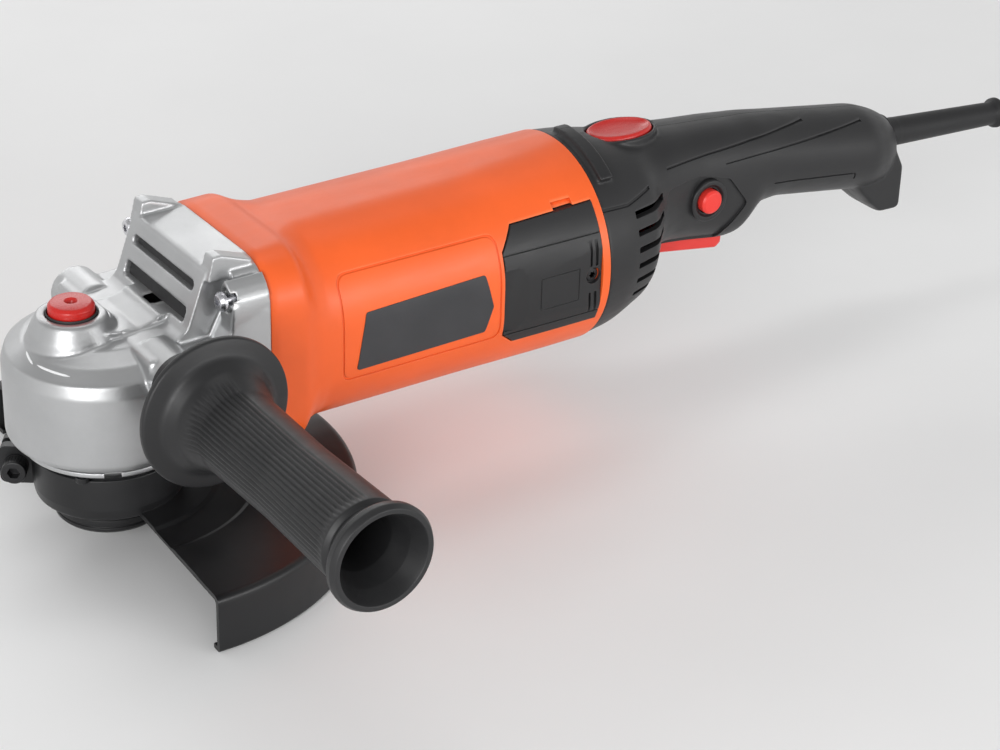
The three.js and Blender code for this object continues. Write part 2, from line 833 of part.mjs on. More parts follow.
// ---------------------------------------------------------------- side handle
const handleFoot = bossFace + seat;
const dishY = handleFoot + 26;
const gripEndY = handleFoot + sideGripLength;

function makeSideHandle() {
  const outside = turned(
    [
      [0, handleFoot],
      [13, handleFoot],
      [13, dishY - 14],
      [sideGripDish - 6, dishY - 3],
      [sideGripDish, dishY],
      [sideGripDish, dishY + 2.4],
      [sideGripDish - 8, dishY + 4.5],
      [sideGripRadius + 3, dishY + 10],
      [sideGripRadius, dishY + 18],
      [sideGripRadius + 0.8, gripEndY - 12],
      [sideGripRadius - 0.6, gripEndY - 10],
      [sideGripRadius + 4.4, gripEndY - 4],
      [sideGripRadius + 4.4, gripEndY - 1],
      [sideGripRadius + 3.4, gripEndY],
      [0, gripEndY],
    ],
    { axis: "y", at: [-sideHandleSetback, 0, sideHandleHeight], sides: 28 },
  );
  const hollow = turned(
    [
      [0, gripEndY - 62],
      [sideGripRadius - 5, gripEndY - 60],
      [sideGripRadius - 4, gripEndY - 9],
      [sideGripRadius + 1.6, gripEndY - 0.5],
      [sideGripRadius + 1.6, gripEndY + 1],
      [0, gripEndY + 1],
    ],
    { axis: "y", at: [-sideHandleSetback, 0, sideHandleHeight] },
  );
  const socket = rod(
    "y",
    [sideHandleHeight, -sideHandleSetback],
    studRadius + seat,
    handleFoot - 1,
    handleFoot + 20,
    16,
  );
  return cut(outside, hollow, socket);
}

add("side_handle", makeSideHandle(), blackNylon);
add(
  "side_handle_stud",
  rod("y", [sideHandleHeight, -sideHandleSetback], studRadius, bossFace - 12, handleFoot + 19, 16),
  steel,
);

// ---------------------------------------------------------------- motor
const fanFront = jointX - 4;
const fanWidth = 12;
const windingLength = 9;
const coreFront = fanFront - fanWidth - 5 - windingLength;
const rearBearingWidth = 7;
const rearBearingRadius = 11;
const rearBearingX = swivelX + 14;
const commutatorLength = 22;
const commutatorRear = rearBearingX + rearBearingWidth + 4;
const commutatorFront = commutatorRear + commutatorLength;
const coreRear = commutatorFront + windingLength + 3;
const brushX = (commutatorFront + commutatorRear) / 2;
const spiderFront = rearBearingX + rearBearingWidth - 2;
const statorBore = rotorRadius + airGap;
const statorRadius = boreRadius - seat;
const coilInner = statorBore + 1.6;
const coilOuter = statorRadius - 4;
const coilAngles = [26, 154];
const coilBar = 13; // degrees that a coil's side covers in the stator

function makeRotorCore() {
  const slots = 12;
  const outline = Array.from({ length: slots }, (_, i) => {
    const middle = (360 * i) / slots;
    return [
      ...arc(0, 0, rotorRadius, middle - 11, middle + 11, 2),
      ...arc(0, 0, rotorRadius - 8, middle + 12.5, middle + 17.5, 1),
    ];
  }).flat();
  const core = prism("x", outline, coreRear, coreFront);
  return cut(core, rod("x", [0, 0], shaftRadius + seat, coreRear - 1, coreFront + 1));
}

function makeFan() {
  const hub = rod("x", [0, 0], shaftRadius + 4, fanFront - fanWidth, fanFront);
  const disc = rod("x", [0, 0], boreRadius - 2, fanFront - fanWidth, fanFront - fanWidth + 2, 28);
  const blades = circle(0, 0, 1, 9).map(([y, z]) => {
    const blade = box(
      fanFront - fanWidth + 1,
      fanFront - 0.6,
      shaftRadius + 2,
      boreRadius - 4,
      -0.9,
      0.9,
    );
    return solid(geometryOf(blade).rotateX(Math.atan2(z, y)));
  });
  return cut(union(hub, disc, ...blades), rod("x", [0, 0], shaftRadius + seat, -farOff, 0));
}

/** A block of a ring about the motor axis, between two angles. */
const sector = (inner, outer, start, end, from, to, steps) =>
  prism(
    "x",
    [...arc(0, 0, outer, start, end, steps), ...arc(0, 0, inner, end, start, steps)],
    from,
    to,
  );

/** The two angle ranges where a coil's sides run through the stator. */
const coilSides = (turn) => [
  [coilAngles[0] + turn, coilAngles[0] + coilBar + turn],
  [coilAngles[1] - coilBar + turn, coilAngles[1] + turn],
];

function makeStator() {
  const windows = [0, 180].flatMap(coilSides).map(([start, end]) =>
    sector(coilInner - 0.6, coilOuter + seat, start - 1, end + 1, coreRear - 1, coreFront + 1, 3),
  );
  return cut(ring("x", [0, 0], statorBore, statorRadius, coreRear, coreFront, 28), ...windows);
}

function makeFieldCoil(turn) {
  const length = windingLength - 1;
  const ends = [
    [coreFront + seat, coreFront + length],
    [coreRear - length, coreRear - seat],
  ].map(([from, to]) =>
    sector(coilInner, coilOuter, coilAngles[0] + turn, coilAngles[1] + turn, from, to, 10),
  );
  const sides = coilSides(turn).map(([start, end]) =>
    sector(coilInner, coilOuter, start, end, coreRear - 1, coreFront + 1, 2),
  );
  return union(...ends, ...sides);
}

const shaftProfile = [
  [0, rearBearingX + 0.5],
  [4, rearBearingX + 0.5],
  [4, rearBearingX + rearBearingWidth + 1],
  [shaftRadius, rearBearingX + rearBearingWidth + 1],
  [shaftRadius, -pinionHubEnd - seat],
  [pinionSocket, -pinionHubEnd - seat],
  [pinionSocket, -crownPitchRadius - 2.7 - seat],
  [0, -crownPitchRadius - 2.7 - seat],
];
const woundRing = (from, to) =>
  ring("x", [0, 0], shaftRadius + seat, rotorRadius - 4, from, to, 24);

add("armature_shaft", turned(shaftProfile, { axis: "x", sides: 20 }), steel, motorAxis);
add("rotor_core", makeRotorCore(), laminations, motorAxis);
add("front_winding", woundRing(coreFront + seat, coreFront + windingLength), copper, motorAxis);
add("rear_winding", woundRing(coreRear - windingLength, coreRear - seat), copper, motorAxis);
add(
  "commutator",
  ring("x", [0, 0], shaftRadius + seat, commutatorRadius, commutatorRear, commutatorFront, 24),
  copper,
  motorAxis,
);
add("fan", makeFan(), blackNylon, motorAxis);
add("stator_core", makeStator(), laminations, motorAxis);
add("upper_field_coil", makeFieldCoil(0), copper, motorAxis);
add("lower_field_coil", makeFieldCoil(180), copper, motorAxis);
add(
  "rear_bearing",
  bearing("x", 4, rearBearingRadius, rearBearingX, rearBearingX + rearBearingWidth),
  steel,
  motorAxis,
);

// ---------------------------------------------------------------- motor housing
const spigotLength = 11;
const spigotRadius = swivelRadius - 7.3;
const swivelRing = spigotRadius + 2.5;

/** The housing's outer form, grown outwards by a distance. */
function barrel(grow) {
  const at = (x, halfWidth, halfHeight, corner) => ({
    x,
    outline: roundedRectangle(halfWidth + grow, halfHeight + grow, corner + grow),
  });
  const flangeRear = jointX - 18;
  return loft([
    at(swivelX, swivelRadius, swivelRadius, swivelRadius - 0.5),
    at(swivelX + 22, barrelHalf + 2, barrelHalf + 2, barrelCorner + 5),
    at(swivelX + 60, barrelHalf + 0.5, barrelHalf + 0.5, barrelCorner + 1),
    at(flangeRear - 8, barrelHalf, barrelHalf, barrelCorner),
    at(flangeRear - 3, barrelHalf + 0.6, barrelHalf + 0.6, barrelCorner - 6),
    at(flangeRear, flangeHalfWidth + 0.5, crestHeight + 0.8, flangeCorner + 3),
    at(jointX - seat, flangeHalfWidth, crestHeight, flangeCorner),
  ]);
}

/** A brush cover's outline on the side of the housing, as [X, Z] points about the motor axis. */
const brushCoverOutline = (grow) => [
  [swivelX + 52 + grow, -16 - grow],
  [swivelX + 52 + grow, 21 + grow],
  [swivelX + 45 + grow, 30 + grow],
  [swivelX + 4 - grow, 31 + grow],
  [swivelX + 4 - grow, -21 - grow],
  [swivelX + 45 + grow, -21 - grow],
];

const brushScrewCentre = [1.2, swivelX + 8];

function makeMotorHousing() {
  const spigot = rod("x", [0, 0], spigotRadius, swivelX - spigotLength, swivelX + 1, 32);
  const stop = rod("x", [0, 0], swivelRing, swivelX - spigotLength, swivelX - spigotLength + 4, 32);
  const bore = rod("x", [0, 0], boreRadius, spiderFront, 0, 32);
  const tail = rod("x", [0, 0], spigotRadius - 3, swivelX - 20, rearBearingX - 3, 32);
  const bearingSeat = rod("x", [0, 0], rearBearingRadius + seat, rearBearingX - seat, 0);
  const airWays = [45, 135, 225, 315].map((middle) =>
    sector(18, spigotRadius - 6, middle - 32, middle + 32, swivelX - 20, 0, 6),
  );
  const screwHoles = screwPlaces.map(([y, z]) =>
    rod("x", [y, z], caseScrewRadius + seat, jointX - 16, 0, 12),
  );
  const recesses = [-1, 1].flatMap((side) => {
    const [from, to] = sideRange(side, 20, 60);
    const panel = cut(sideOutline(brushCoverOutline(seat), from, to), barrel(-brushCoverDepth));
    const [near, far] = sideRange(side, 20, boreRadius + 2);
    const holder = box(brushX - 9.3, brushX + 9.3, near, far, -7.3, 7.3);
    const screw = rod("y", brushScrewCentre, brushScrewRadius + seat, ...sideRange(side, 33, 60), 10);
    return [panel, holder, screw];
  });
  const shell = cut(union(barrel(0), spigot, stop), bore, tail, bearingSeat, ...airWays);
  return cut(shell, ...screwHoles, ...recesses);
}

function makeBrushCover(side) {
  const [from, to] = sideRange(side, 20, 60);
  const inner = barrel(seat - brushCoverDepth);
  const panel = sideOutline(brushCoverOutline(0), from, to).intersect(barrel(brushCoverProud));
  const screwHole = rod("y", brushScrewCentre, brushScrewRadius + seat, from, to, 10);
  const grooves = [14, 9, 4, -6, -11].map((z) =>
    box(swivelX + 6.5, swivelX + 9.5, ...sideRange(side, barrelHalf + 1.6, 60), z, z + 2.4),
  );
  return cut(panel, inner, screwHole, ...grooves);
}

add("motor_housing", makeMotorHousing(), orangeShell, motorAxis);
for (const [side, word] of [
  [1, "left"],
  [-1, "right"],
]) {
  const holder = cut(
    box(brushX - 9, brushX + 9, ...sideRange(side, commutatorRadius + 3, boreRadius + 0.6), -7, 7),
    box(brushX - 5.3, brushX + 5.3, ...sideRange(side, 0, boreRadius - 1), -3.6, 3.6),
  );
  const brush = box(
    brushX - 5,
    brushX + 5,
    ...sideRange(side, commutatorRadius + seat, boreRadius - 8),
    -3.3,
    3.3,
  );
  const headRange = sideRange(side, swivelRadius + 0.4, swivelRadius + 2);
  const screw = union(
    rod("y", brushScrewCentre, brushScrewHead, ...headRange, 12),
    rod("y", brushScrewCentre, brushScrewRadius, ...sideRange(side, 34, swivelRadius + 1), 10),
  );
  const coil = spring([brushX, 0], 2, 0.45, boreRadius - 7.6, boreRadius - 1.4, 3);
  const springBody = solid(geometryOf(coil).rotateX(side > 0 ? -Math.PI / 2 : Math.PI / 2));
  add("brush_cover_" + word, makeBrushCover(side), blackNylon, motorAxis);
  add("brush_cover_screw_" + word, screw, steel, motorAxis);
  add("brush_holder_" + word, holder, brass, motorAxis);
  add("carbon_brush_" + word, brush, carbon, motorAxis);
  add("brush_spring_" + word, springBody, steel, motorAxis);
}

// ---------------------------------------------------------------- rear handle
const triggerTop = motorAxisHeight - 11;
const triggerRearX = gripStartX + 15;
const triggerHalfWidth = 7;
const pivotX = triggerFrontX - 4;
const pivotZ = triggerTop - 3.5;
const housingFloor = motorAxisHeight - 21;
const switchFront = triggerFrontX - 21;
const switchRear = switchFront - 34;
const switchFloor = triggerTop + 7;
const lockOnX = triggerFrontX - 26;
const lockOnZ = motorAxisHeight + 8.7;
const lockOnRadius = 5.5;
const lockOnFace = gripRadius + 6.4;
const releaseX = swivelX - 36;
const releaseTop = motorAxisHeight + swivelRadius - 2.6;
const releaseTravel = 2;
const releaseHalfLength = 17;
const releaseHalfWidth = 11;
const pinRadius = 1.5; // the trigger's pivot pin
const switchHeight = 26;
const collarFoot = releaseTop - 9.7;
const handleEndX = gripEndX - 20;

/** The handle's outer form, from the swivel joint to its rear end, grown by a distance. */
function handleForm(grow) {
  const section = (x, bottom, top, halfWidth, power) => ({
    x,
    outline: Array.from({ length: 20 }, (_, i) => {
      const angle = (TAU * i) / 20;
      const [c, s] = [Math.cos(angle), Math.sin(angle)];
      const squared = (value) => Math.sign(value) * Math.abs(value) ** (2 / power);
      const halfHeight = (top - bottom) / 2 + grow;
      return [(halfWidth + grow) * squared(c), (bottom + top) / 2 + halfHeight * squared(s)];
    }),
  });
  const round = (x, radius) => section(x, gripAxis(x) - radius, gripAxis(x) + radius, radius, 2);
  const axle = motorAxisHeight;
  const wide = swivelRadius;
  return loft([
    section(handleEndX - grow, gripAxis(handleEndX) - 14, gripAxis(handleEndX) + 14, 11.5, 2.2),
    section(handleEndX + 9, gripAxis(handleEndX + 9) - 19, gripAxis(handleEndX + 9) + 18, 17, 2.1),
    round(gripEndX, gripRadius),
    round(gripStartX - 6, gripRadius),
    section(triggerRearX - 9, housingFloor + 11, gripAxis(gripStartX) + gripRadius + 1, 20.6, 2.2),
    section(triggerRearX, housingFloor, axle + 35, 21.4, 2.4),
    section(swivelX - 74, housingFloor, axle + 38.2, 22.6, 2.4),
    section(swivelX - bellLength, housingFloor - 1.5, axle + wide - 5.5, 25.5, 2.3),
    section(swivelX - 41, axle - wide + 17.3, axle + wide - 4.1, wide - 14.8, 2.1),
    section(swivelX - 28, axle - wide + 7.3, axle + wide - 2.7, wide - 6.9, 2),
    section(swivelX - 14, axle - wide + 2.1, axle + wide - 1.3, wide - 2, 2),
    section(swivelX - seat + grow, axle - wide, axle + wide, wide, 2),
  ]);
}

/** The bump under the handle's rear end that keeps the hand from slipping off. */
function hookForm() {
  const end = handleEndX - 9;
  return sideOutline(
    [
      [gripEndX + 8, gripAxis(gripEndX) - gripRadius + 8],
      [gripEndX - 1, gripAxis(gripEndX) - gripRadius - 2],
      [gripEndX - 12, motorAxisHeight - hookLength],
      [gripEndX - 20, motorAxisHeight - hookLength - 5],
      [end, motorAxisHeight - hookLength - 3],
      [end + 3, motorAxisHeight - 8],
      [handleEndX + 2, motorAxisHeight + 4],
    ],
    -11,
    11,
  );
}

const handleScrews = [
  [swivelX - 22, motorAxisHeight + swivelRadius - 16.3],
  [swivelX - 22, motorAxisHeight - swivelRadius + 16.3],
  [gripStartX - 14, gripAxis(gripStartX - 14)],
  [gripEndX - 8, motorAxisHeight - 11.7],
];
const bossRadius = 4.5;
const bootTilt = 0.072;
const bootStartX = handleEndX + 5;
const bootAxis = (x) => gripAxis(handleEndX) + 5.5 - bootTilt * (bootStartX - x);

/** The cord boot's outline as [radius, distance from its inner end] points. */
function bootForm(grow, reach) {
  const body = turned(
    [
      [0, -grow],
      [bootRadius + 2.5 + grow, -grow],
      [bootRadius + 2.5 + grow, 3 + grow],
      [bootRadius + grow, 3 + grow],
      [bootRadius + grow, 14],
      [bootRadius - 1.4 + grow, reach - 5],
      [bootRadius - 1.4 + grow, reach - 3],
      [bootRadius + 0.3 + grow, reach - 2.4],
      [bootRadius + 0.3 + grow, reach],
      [0, reach],
    ],
    { sides: 16 },
  );
  const placed = geometryOf(body).rotateY(-Math.PI / 2 - Math.atan(bootTilt));
  return solid(placed.translate(bootStartX, 0, bootAxis(bootStartX)));
}

/** One half of the rear handle, on the left for side 1 and on the right for side -1. */
function makeHandleHalf(side) {
  const outside = union(handleForm(0), hookForm());
  const swivelLip = rod(
    "x",
    [0, motorAxisHeight],
    swivelRadius - 2,
    swivelX - spigotLength + 4 + running,
    swivelX - seat,
    28,
  );
  const pivotRib = box(pivotX - 4, pivotX + 4, -24, 24, pivotZ - 5, pivotZ + 5);
  const endWall = box(handleEndX - 2, handleEndX + 12, -9, 9, motorAxisHeight - 12, 89);
  const bosses = handleScrews.map(([x, z]) => rod("y", [z, x], bossRadius, -46, 46, 8));
  const lockOnBoss = rod("y", [lockOnZ, lockOnX], lockOnRadius + 4, 9 + 2 * seat, lockOnFace - 2.4, 20);
  const releaseCollar = prism(
    "z",
    ellipse(releaseX, releaseHalfLength + 2.5, releaseHalfWidth + 2.5, 20),
    collarFoot,
    releaseTop - 1.5,
  );
  const inside = union(swivelLip, pivotRib, endWall, ...bosses).intersect(outside);
  const shell = union(
    cut(outside, handleForm(-handleWall)),
    inside,
    releaseCollar,
    lockOnBoss,
  );
  const triggerSlot = box(
    triggerRearX - 1.5,
    triggerFrontX + 1,
    -triggerHalfWidth - running,
    triggerHalfWidth + running,
    0,
    triggerTop + 6.5,
  );
  const spigotRoom = union(
    rod("x", [0, motorAxisHeight], spigotRadius + running, swivelX - 20, swivelX + 1, 28),
    rod("x", [0, motorAxisHeight], swivelRing + 0.6, swivelX - 13, swivelX - spigotLength + 4.5, 28),
  );
  const cordWay = rod("x", [0, bootAxis(bootStartX)], cordBore, bootStartX - 1, gripEndX, 12);
  const pivotHole = rod("y", [pivotZ, pivotX], pinRadius + seat, -12, 12, 8);
  const screwHoles = handleScrews.flatMap(([x, z]) => [
    rod("y", [z, x], handleScrewRadius + seat, -farOff, 30, 8),
    rod("y", [z, x], handleScrewHead + 0.4, -farOff, headEnd(x) + seat, 10),
  ]);
  const lockOnHole = rod("y", [lockOnZ, lockOnX], lockOnRadius + running, 0, 60, 20);
  const releaseHole = prism(
    "z",
    ellipse(releaseX, releaseHalfLength + running, releaseHalfWidth + running, 20),
    collarFoot - releaseTravel - 1,
    farOff,
  );
  const slots = ventSlots();
  const half = box(-farOff, 0, ...sideRange(side, seat / 2, farOff), -farOff, farOff);
  return cut(
    shell,
    triggerSlot,
    spigotRoom,
    cordWay,
    pivotHole,
    ...screwHoles,
    lockOnHole,
    releaseHole,
    bootForm(seat, bootLength),
    ...slots,
  ).intersect(half);
}

/** How far from the centre plane a handle screw's head sits, on the right-hand half. */
function screwHeadDepth(x) {
  if (x > swivelX - bellLength) return 20;
  return x > gripEndX ? gripRadius - 8 : 5;
}

const headEnd = (x) => handleScrewHeadHeight - screwHeadDepth(x);

/** Slots through the lower sides of the handle's bell, for the cooling air. */
function ventSlots() {
  return Array.from({ length: 5 }, (_, i) => {
    const x = swivelX - 13.3 - 5.3 * i;
    const height = motorAxisHeight + 9.6 - 6 * i;
    return box(x - 1.2, x + 1.2, -60, 60, height - 7, height);
  });
}

const rearHandle = new THREE.Group();
grinder.add(rearHandle);
add("handle_left", makeHandleHalf(1), blackNylon, rearHandle);
add("handle_right", makeHandleHalf(-1), blackNylon, rearHandle);
handleScrews.forEach(([x, z], i) => {
  const depth = screwHeadDepth(x);
  const head = rod("y", [z, x], handleScrewHead, -depth, headEnd(x), 12);
  const shank = rod("y", [z, x], handleScrewRadius, -depth + 1, depth - 2, 10);
  add("handle_screw_" + (i + 1), union(head, shank), steel, rearHandle);
});

/** The trigger: a bar under the handle that turns about its front end. */
function makeTrigger() {
  const bar = sideOutline(
    [
      [triggerFrontX, housingFloor + 1],
      [triggerFrontX, triggerTop],
      [triggerRearX, triggerTop],
      [triggerRearX, housingFloor - 6],
      [triggerRearX + 6, housingFloor - 9],
      [triggerFrontX - 14, housingFloor - 9],
      [triggerFrontX - 3, housingFloor - 6],
    ],
    -triggerHalfWidth,
    triggerHalfWidth,
  );
  const springSeat = box(triggerRearX + 8, triggerRearX + 18, -5, 5, triggerTop - 1, farOff);
  const pinHole = rod("y", [pivotZ, pivotX], pinRadius + seat, -20, 20, 12);
  return cut(bar, pinHole, springSeat);
}

add("trigger", makeTrigger(), redPlastic, rearHandle);
add("trigger_pin", rod("y", [pivotZ, pivotX], pinRadius, -11.5, 11.5, 12), steel, rearHandle);
add(
  "switch_body",
  box(switchRear, switchFront, -9, 9, switchFloor, switchFloor + switchHeight),
  blackNylon,
  rearHandle,
);
add(
  "trigger_spring",
  spring([triggerRearX + 13, 0], 3, 0.5, triggerTop - 0.8, switchFloor - 0.2, 3),
  steel,
  rearHandle,
);

const lockOnButton = turned(
  [
    [0, 12],
    [lockOnRadius, 12],
    [lockOnRadius, lockOnFace - 1],
    [lockOnRadius - 1, lockOnFace],
    [0, lockOnFace],
  ],
  { axis: "y", at: [lockOnX, 0, lockOnZ], sides: 20 },
);
add("lock_on_button", lockOnButton, redPlastic, rearHandle);
add(
  "release_button",
  prism("z", ellipse(releaseX, releaseHalfLength, releaseHalfWidth, 20), collarFoot, releaseTop),
  redPlastic,
  rearHandle,
);

function makeBoot() {
  const bore = rod("z", [0, 0], cordBore, -5, bootLength + 5, 12);
  const placed = geometryOf(bore).rotateY(-Math.PI / 2 - Math.atan(bootTilt));
  return cut(
    bootForm(0, bootLength),
    solid(placed.translate(bootStartX, 0, bootAxis(bootStartX))),
  );
}

add("cord_boot", makeBoot(), softRubber, rearHandle);

export default grinder;
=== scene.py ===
import json
import math

import bmesh
import bpy
import numpy as np
from mathutils import Euler, Matrix, Vector


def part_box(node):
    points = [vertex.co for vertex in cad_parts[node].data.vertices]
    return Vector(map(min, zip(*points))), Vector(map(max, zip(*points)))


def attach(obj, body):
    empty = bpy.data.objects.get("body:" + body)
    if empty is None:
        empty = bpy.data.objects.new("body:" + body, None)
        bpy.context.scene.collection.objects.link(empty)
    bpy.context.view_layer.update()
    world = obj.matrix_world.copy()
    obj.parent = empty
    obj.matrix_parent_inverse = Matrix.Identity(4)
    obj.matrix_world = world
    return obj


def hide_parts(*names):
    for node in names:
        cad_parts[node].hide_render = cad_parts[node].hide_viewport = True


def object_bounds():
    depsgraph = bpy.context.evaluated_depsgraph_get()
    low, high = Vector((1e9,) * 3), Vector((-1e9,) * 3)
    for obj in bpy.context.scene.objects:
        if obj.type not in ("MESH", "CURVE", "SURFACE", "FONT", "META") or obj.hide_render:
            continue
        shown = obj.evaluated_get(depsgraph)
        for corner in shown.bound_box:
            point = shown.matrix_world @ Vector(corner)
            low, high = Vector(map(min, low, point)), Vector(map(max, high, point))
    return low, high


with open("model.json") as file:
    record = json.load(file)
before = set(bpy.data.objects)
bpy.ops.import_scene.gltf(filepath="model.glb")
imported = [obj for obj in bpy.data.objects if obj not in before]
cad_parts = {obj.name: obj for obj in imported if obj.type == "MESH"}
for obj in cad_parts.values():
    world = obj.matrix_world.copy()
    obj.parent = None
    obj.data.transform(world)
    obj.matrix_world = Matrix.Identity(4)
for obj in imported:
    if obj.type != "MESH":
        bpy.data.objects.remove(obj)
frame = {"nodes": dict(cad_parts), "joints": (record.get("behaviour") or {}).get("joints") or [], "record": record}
cad_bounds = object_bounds()

MM = 0.001
TAU = 2 * math.pi


# ---- places read from the CAD frame, in mm
def box_mm(node):
    """A node's lowest and highest corners at rest."""
    low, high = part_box(node)
    return low / MM, high / MM


joint_pos = {j["name"]: Vector(j.get("pos_m", (0, 0, 0))) / MM for j in frame["joints"]}
axle = joint_pos["armature_spin"].z
swivel_x = joint_pos["handle_turn"].x
case_low, case_high = box_mm("gear_case")
head_radius = case_high.x
joint_x = case_low.x
housing_high = box_mm("motor_housing")[1]
swivel_radius = housing_high.y
swivel_above_flange = 3.1
crest_z = housing_high.z - swivel_above_flange
guard_low = box_mm("guard")[0]
nut_low, nut_high = box_mm("lock_nut")
flange_low, flange_high = box_mm("inner_flange")
button_low, button_high = box_mm("lock_button")
button_x = (button_low.x + button_high.x) / 2
button_above_roof = 4.0
roof_z = button_low.z - button_above_roof
boot_high = box_mm("cord_boot")[1]
boot_flange_rise = 9.4
boot_z = boot_high.z - boot_flange_rise
grip_low, grip_high = box_mm("side_handle")
grip_x = (grip_low.x + grip_high.x) / 2
grip_z = (grip_low.z + grip_high.z) / 2
release_low, release_high = box_mm("release_button")
release_x = (release_low.x + release_high.x) / 2
lock_low, lock_high = box_mm("lock_on_button")
lock_x = (lock_low.x + lock_high.x) / 2
lock_z = (lock_low.z + lock_high.z) / 2
trigger_low, trigger_high = box_mm("trigger")
rim_z = 37.0
barrel_half = 43.0
flange_half = 44.5
flange_corner = 20.0


# ---- mesh tools
def new_object(name, vertices, faces):
    """A mesh object from points in mm, with its faces turned outwards."""
    mesh = bpy.data.meshes.new(name)
    mesh.from_pydata([tuple(MM * c for c in v) for v in vertices], [], faces)
    work = bmesh.new()
    work.from_mesh(mesh)
    bmesh.ops.remove_doubles(work, verts=work.verts, dist=1e-7)
    bmesh.ops.recalc_face_normals(work, faces=work.faces)
    work.to_mesh(mesh)
    work.free()
    obj = bpy.data.objects.new(name, mesh)
    bpy.context.scene.collection.objects.link(obj)
    return obj


def softened(points, radius=0.8, closed=False, steps=4):
    """A line's points with each corner rounded; a point's third number is its own radius."""
    soft = []
    for i, point in enumerate(points):
        own = point[2] if len(point) > 2 else radius
        here = Vector(point[:2])
        if own == 0 or (not closed and i in (0, len(points) - 1)):
            soft.append(tuple(here))
            continue
        before = Vector(points[i - 1][:2]) - here
        after = Vector(points[(i + 1) % len(points)][:2]) - here
        half = before.angle(after, math.pi) / 2
        reach = min(own / max(math.tan(half), 1e-3), 0.45 * before.length, 0.45 * after.length)
        start = here + before.normalized() * reach
        end = here + after.normalized() * reach
        for k in range(steps + 1):
            t = k / steps
            soft.append(tuple(start * (1 - t) ** 2 + here * 2 * t * (1 - t) + end * t * t))
    return soft


def along(axis, u, v, w):
    """The point whose outline coordinates are u, v at w along an axis."""
    return {"x": (w, u, v), "y": (u, w, v), "z": (u, v, w)}[axis]


def turned(name, profile, axis="z", at=(0, 0, 0), sides=96, carve=None):
    """A profile of (radius, height) points turned about an axis through a point.

    carve(angle, radius, height) says how much comes off the radius there.
    """
    if profile[0][0] > 0 and Vector(profile[0]) != Vector(profile[-1]):
        raise ValueError(name + ": the profile starts off its axis and isn't closed")
    vertices, faces = [], []
    count = len(profile)
    for k in range(sides):
        angle = TAU * k / sides
        for radius, height in profile:
            reach = radius - (carve(angle, radius, height) if carve else 0)
            point = along(axis, reach * math.cos(angle), reach * math.sin(angle), height)
            vertices.append([a + b for a, b in zip(at, point)])
    for k in range(sides):
        a, b = k * count, (k + 1) % sides * count
        for i in range(count - 1):
            faces.append((a + i, b + i, b + i + 1, a + i + 1))
    return new_object(name, vertices, faces)


def loft(name, sections):
    """A closed body through rings of points, capped at both ends."""
    count = len(sections[0])
    vertices = [p for section in sections for p in section]
    faces = []
    for k in range(len(sections) - 1):
        a, b = k * count, (k + 1) * count
        for i in range(count):
            j = (i + 1) % count
            faces.append((a + i, a + j, b + j, b + i))
    faces.append(tuple(range(count))[::-1])
    last = (len(sections) - 1) * count
    faces.append(tuple(range(last, last + count)))
    return new_object(name, vertices, faces)


def prism(name, axis, outline, low, high):
    """A flat outline pushed along an axis."""
    return loft(name, [[along(axis, u, v, w) for u, v in outline] for w in (low, high)])


def rectangle(u0, u1, v0, v1):
    return [(u0, v0), (u1, v0), (u1, v1), (u0, v1)]


def box(name, x0, x1, y0, y1, z0, z1):
    return prism(name, "z", rectangle(x0, x1, y0, y1), z0, z1)


def oval(half_u, half_v, sides=72, u=0.0, v=0.0, power=2.0):
    """An ellipse's points, or a squarer oval's where the power is above 2."""
    points = []
    for k in range(sides):
        c, s = math.cos(TAU * k / sides), math.sin(TAU * k / sides)
        points.append((u + half_u * math.copysign(abs(c) ** (2 / power), c),
                       v + half_v * math.copysign(abs(s) ** (2 / power), s)))
    return points


def circle(radius, sides=64, u=0.0, v=0.0):
    return oval(radius, radius, sides, u, v)


def side_range(side, near, far=60):
    """The span from near to far across the tool, on its left (1) or its right (-1)."""
    return (near, far) if side > 0 else (-far, -near)


def rod(name, axis, u, v, radius, low, high, sides=48):
    return prism(name, axis, circle(radius, sides, u, v), low, high)


def applied(obj):
    """Bakes an object's modifiers into its mesh."""
    graph = bpy.context.evaluated_depsgraph_get()
    mesh = bpy.data.meshes.new_from_object(obj.evaluated_get(graph))
    obj.modifiers.clear()
    obj.data = mesh
    return obj


def combine(base, tools, operation):
    for tool in tools:
        modifier = base.modifiers.new("combine", "BOOLEAN")
        modifier.operation = operation
        modifier.solver = "MANIFOLD"
        modifier.object = tool
        applied(base)
        bpy.data.objects.remove(tool)
    return base


def join(base, *tools):
    return combine(base, tools, "UNION")


def cut(base, *tools):
    return combine(base, tools, "DIFFERENCE")


def shared(base, *tools):
    return combine(base, tools, "INTERSECT")


def cast(obj, voxel=0.7, rounds=5):
    """Melts a body's edges a little, as casting or moulding does."""
    remesh = obj.modifiers.new("remesh", "REMESH")
    remesh.mode = "VOXEL"
    remesh.voxel_size = voxel * MM
    smooth = obj.modifiers.new("smooth", "SMOOTH")
    smooth.iterations = rounds
    smooth.factor = 0.5
    return applied(obj)


def copy_of(obj, name):
    twin = bpy.data.objects.new(name, obj.data.copy())
    bpy.context.scene.collection.objects.link(twin)
    return twin


def spun(obj, degrees, centre=(0, 0, 0), axis="Z"):
    """Turns a body's mesh about an axis through a point."""
    pivot = Vector(centre) * MM
    turn = Matrix.Translation(pivot) @ Matrix.Rotation(math.radians(degrees), 4, axis)
    obj.data.transform(turn @ Matrix.Translation(-pivot))
    return obj


def mirrored(obj, name):
    """The same body on the other side of the centre plane."""
    twin = copy_of(obj, name)
    twin.data.transform(Matrix.Scale(-1, 4, (0, 1, 0)))
    twin.data.flip_normals()
    return twin


